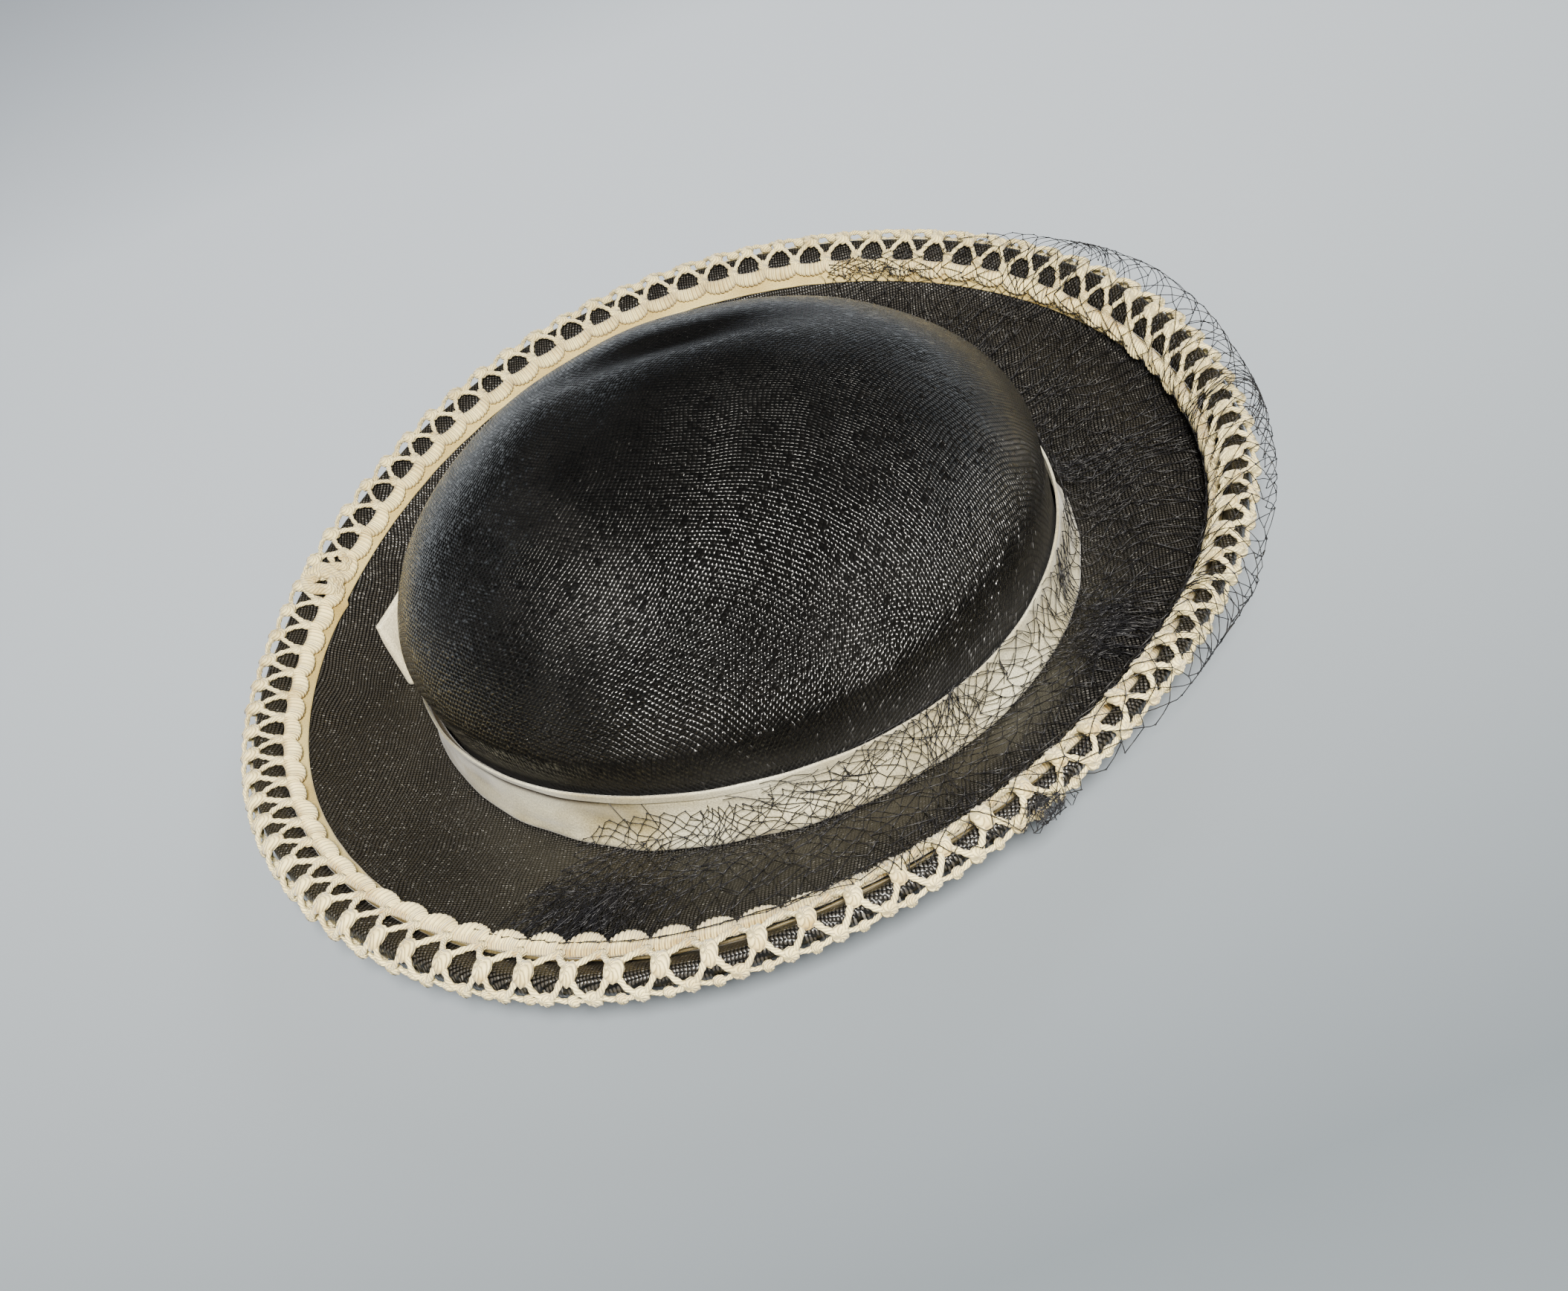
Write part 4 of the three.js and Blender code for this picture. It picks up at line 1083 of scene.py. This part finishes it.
def veil_place(across, down, layer):
    """Points of the gathered net from shares across it and down it: pleats draw it together by two
    sine waves, bunches draw it towards their middles, and folds lift it off the hat."""
    width = VEIL_TO - VEIL_FROM
    pleat = VEIL_PLEATS["wide"] * np.sin(TAU * 5.3 * across + 2.6 * down + layer["seed"]) \
        + VEIL_PLEATS["fine"] * np.sin(TAU * 12.7 * across - 4.1 * down)
    angle = VEIL_FROM + width * np.clip(across + pleat * np.sin(np.pi * across) ** 0.3, -0.01, 1.01)
    first = np.interp(angle, VEIL_EDGES[:, 0], VEIL_EDGES[:, 1])
    last = np.interp(angle, VEIL_EDGES[:, 0], VEIL_EDGES[:, 2])
    share = layer["first"] + (layer["last"] - layer["first"]) * down
    place = first + (last - first) * share + 0.16 * np.sin(TAU * 3.4 * across + 9 * down + layer["seed"])
    for to_angle, to_place, reach, depth, drawn in VEIL_BUNCHES:
        near = drawn * np.exp(-((angle - to_angle) / reach) ** 2 - ((place - to_place) / depth) ** 2)
        angle, place = angle + (to_angle - angle) * near, place + (to_place - place) * near
    fold = np.abs(np.sin(TAU * 9.2 * across + 3.3 * down + layer["seed"]))
    point = veil_line(angle, np.clip(place, 0, len(VEIL_LINE) - 1.0))
    lift = layer["raise"] + 0.9 * fold ** 3 * np.clip(1.3 - place / 9, 0.2, 1)
    plan = square_out(np.radians(angle), *CREST)
    steep = np.clip(1 - place / 3.0, 0, 1)[..., None]
    return point + (plan * steep + (1 - steep) * (0, 0, 1)) * np.expand_dims(lift, -1)


def silk_net():
    """Black silk thread, by a slow noise faintly blue in places, a painted sheen, and brown in others
    where it has rusted.
    """
    material, tree, shader = new_material("black_silk_net")
    place = add(tree, "TexCoord")
    age = add(tree, "TexNoise", {"Vector": place.outputs["Object"], "Scale": 60.0, "Detail": 3.0})
    fibre = add(tree, "TexNoise", {"Vector": place.outputs["Object"], "Scale": 3000.0, "Detail": 1.0})
    # Painted sheen: the blue end of this mix stands for light caught on the thread.
    tone = add(tree, "Mix", {0: age, 6: linear("#11131B"), 7: linear("#1E1C1B")}, data_type="RGBA")
    bump = add(tree, "Bump", {"Strength": 0.5, "Distance": 0.05 * MM, "Height": fibre})
    rough = add(tree, "MapRange", {0: fibre, 1: 0.3, 2: 0.7, 3: 0.35, 4: 0.55})
    feed(tree, shader, {"Base Color": tone.outputs[2], "Roughness": rough, "Normal": bump})
    return material


net_thread = silk_net()
bead = np.array([(1, 0, 0), (0, 1, 0), (-1, 0, 0), (0, -1, 0), (0, 0, 1), (0, 0, -1)]) * NET_KNOT
quarter = np.arange(4)
bead_top = np.stack([quarter, (quarter + 1) % 4, quarter * 0 + 4], -1)
bead_under = np.stack([(quarter + 1) % 4, quarter, quarter * 0 + 5], -1)
bead_faces = np.concatenate([bead_top, bead_under])
for layer in VEIL_LAYERS:
    columns, rows = layer["columns"], layer["rows"]
    draw = np.random.default_rng(layer["seed"])
    jump = draw.normal(0, 1, (2, rows, columns)).clip(-2, 2) * NET_UNEVEN[:, None, None]
    i, j = np.indices((columns, rows - 1)).reshape(2, -1)
    edges = []
    for way in (0, 1):
        start = np.stack([i, j], -1)
        end = np.stack([i + way + j % 2 - 1, j + 1], -1)
        edges.append(np.stack([start, end], 1))
    edges = np.concatenate(edges)
    edges = edges[(edges[:, 1, 0] >= 0) & (edges[:, 1, 0] < columns)]
    node_i, node_j = edges[..., 0], edges[..., 1]
    across = (node_i + 0.5 * (node_j % 2) + jump[0][node_j, node_i]) / columns
    down = (node_j + jump[1][node_j, node_i]) / (rows - 1)
    t = np.array([0.0, 0.5, 1.0])[None, :]
    path_across = across[:, :1] + (across[:, 1:] - across[:, :1]) * t
    path_down = down[:, :1] + (down[:, 1:] - down[:, :1]) * t
    paths = veil_place(path_across, path_down.clip(0, 1), layer)
    ups = np.broadcast_to(NET_UP, paths.shape)
    points, faces, marks = carried_tubes(paths, ups, np.full(paths.shape[:2], THREAD_RADIUS), NET_SIDES)
    piece = make_piece(layer["name"], points, faces, net_thread, marks)
    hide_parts("veil")
    grid_i, grid_j = np.indices((columns, rows)).reshape(2, -1)
    knot_middle = veil_place((grid_i + 0.5 * (grid_j % 2) + jump[0][grid_j, grid_i]) / columns,
                             ((grid_j + jump[1][grid_j, grid_i]) / (rows - 1)).clip(0, 1), layer)
    knots = make_piece(layer["name"] + "_knots", knot_middle[:, None] + bead,
                       [repeat_faces(bead_faces, len(knot_middle), len(bead))], net_thread)
    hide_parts("veil")

STRAYS = {"steps": 6, "spread": 0.6, "sway": 0.9, "dip": 0.3, "rise": 0.8, "thin": 0.85, "seed": 17}
draw = np.random.default_rng(STRAYS["seed"])
tangle_paths = []
for to_angle, to_place, wide, deep, count, angle_run, place_run in VEIL_TANGLES:
    t = np.linspace(0, 1, STRAYS["steps"])[None, :]
    angle = to_angle + wide * draw.normal(0, STRAYS["spread"], (count, 1)) \
        + draw.normal(0, angle_run, (count, 1)) * (t - 0.5) \
        + draw.normal(0, STRAYS["sway"], (count, 1)) * np.sin(np.pi * t)
    place = to_place + deep * draw.normal(0, STRAYS["spread"], (count, 1)) \
        + draw.normal(0, place_run, (count, 1)) * (t - 0.5) \
        + draw.normal(0, STRAYS["dip"], (count, 1)) * np.sin(TAU * t)
    loose = veil_line(angle, place.clip(0, len(VEIL_LINE) - 1.0))
    rise = np.abs(draw.normal(0, STRAYS["rise"], (count, 1, 1)))
    tangle_paths.append(loose + np.array([0, 0, 1.0]) * rise)
tangle_paths = np.concatenate(tangle_paths)
thin_thread = np.full(tangle_paths.shape[:2], THREAD_RADIUS * STRAYS["thin"])
points, faces, marks = carried_tubes(tangle_paths, np.broadcast_to(NET_UP, tangle_paths.shape),
                                     thin_thread, NET_SIDES)
tangles = make_piece("veil_net_bunched", points, faces, net_thread, marks)
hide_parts("veil")

size = {"cad": [list(corner) for corner in cad_box], "visual": [list(corner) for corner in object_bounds()]}
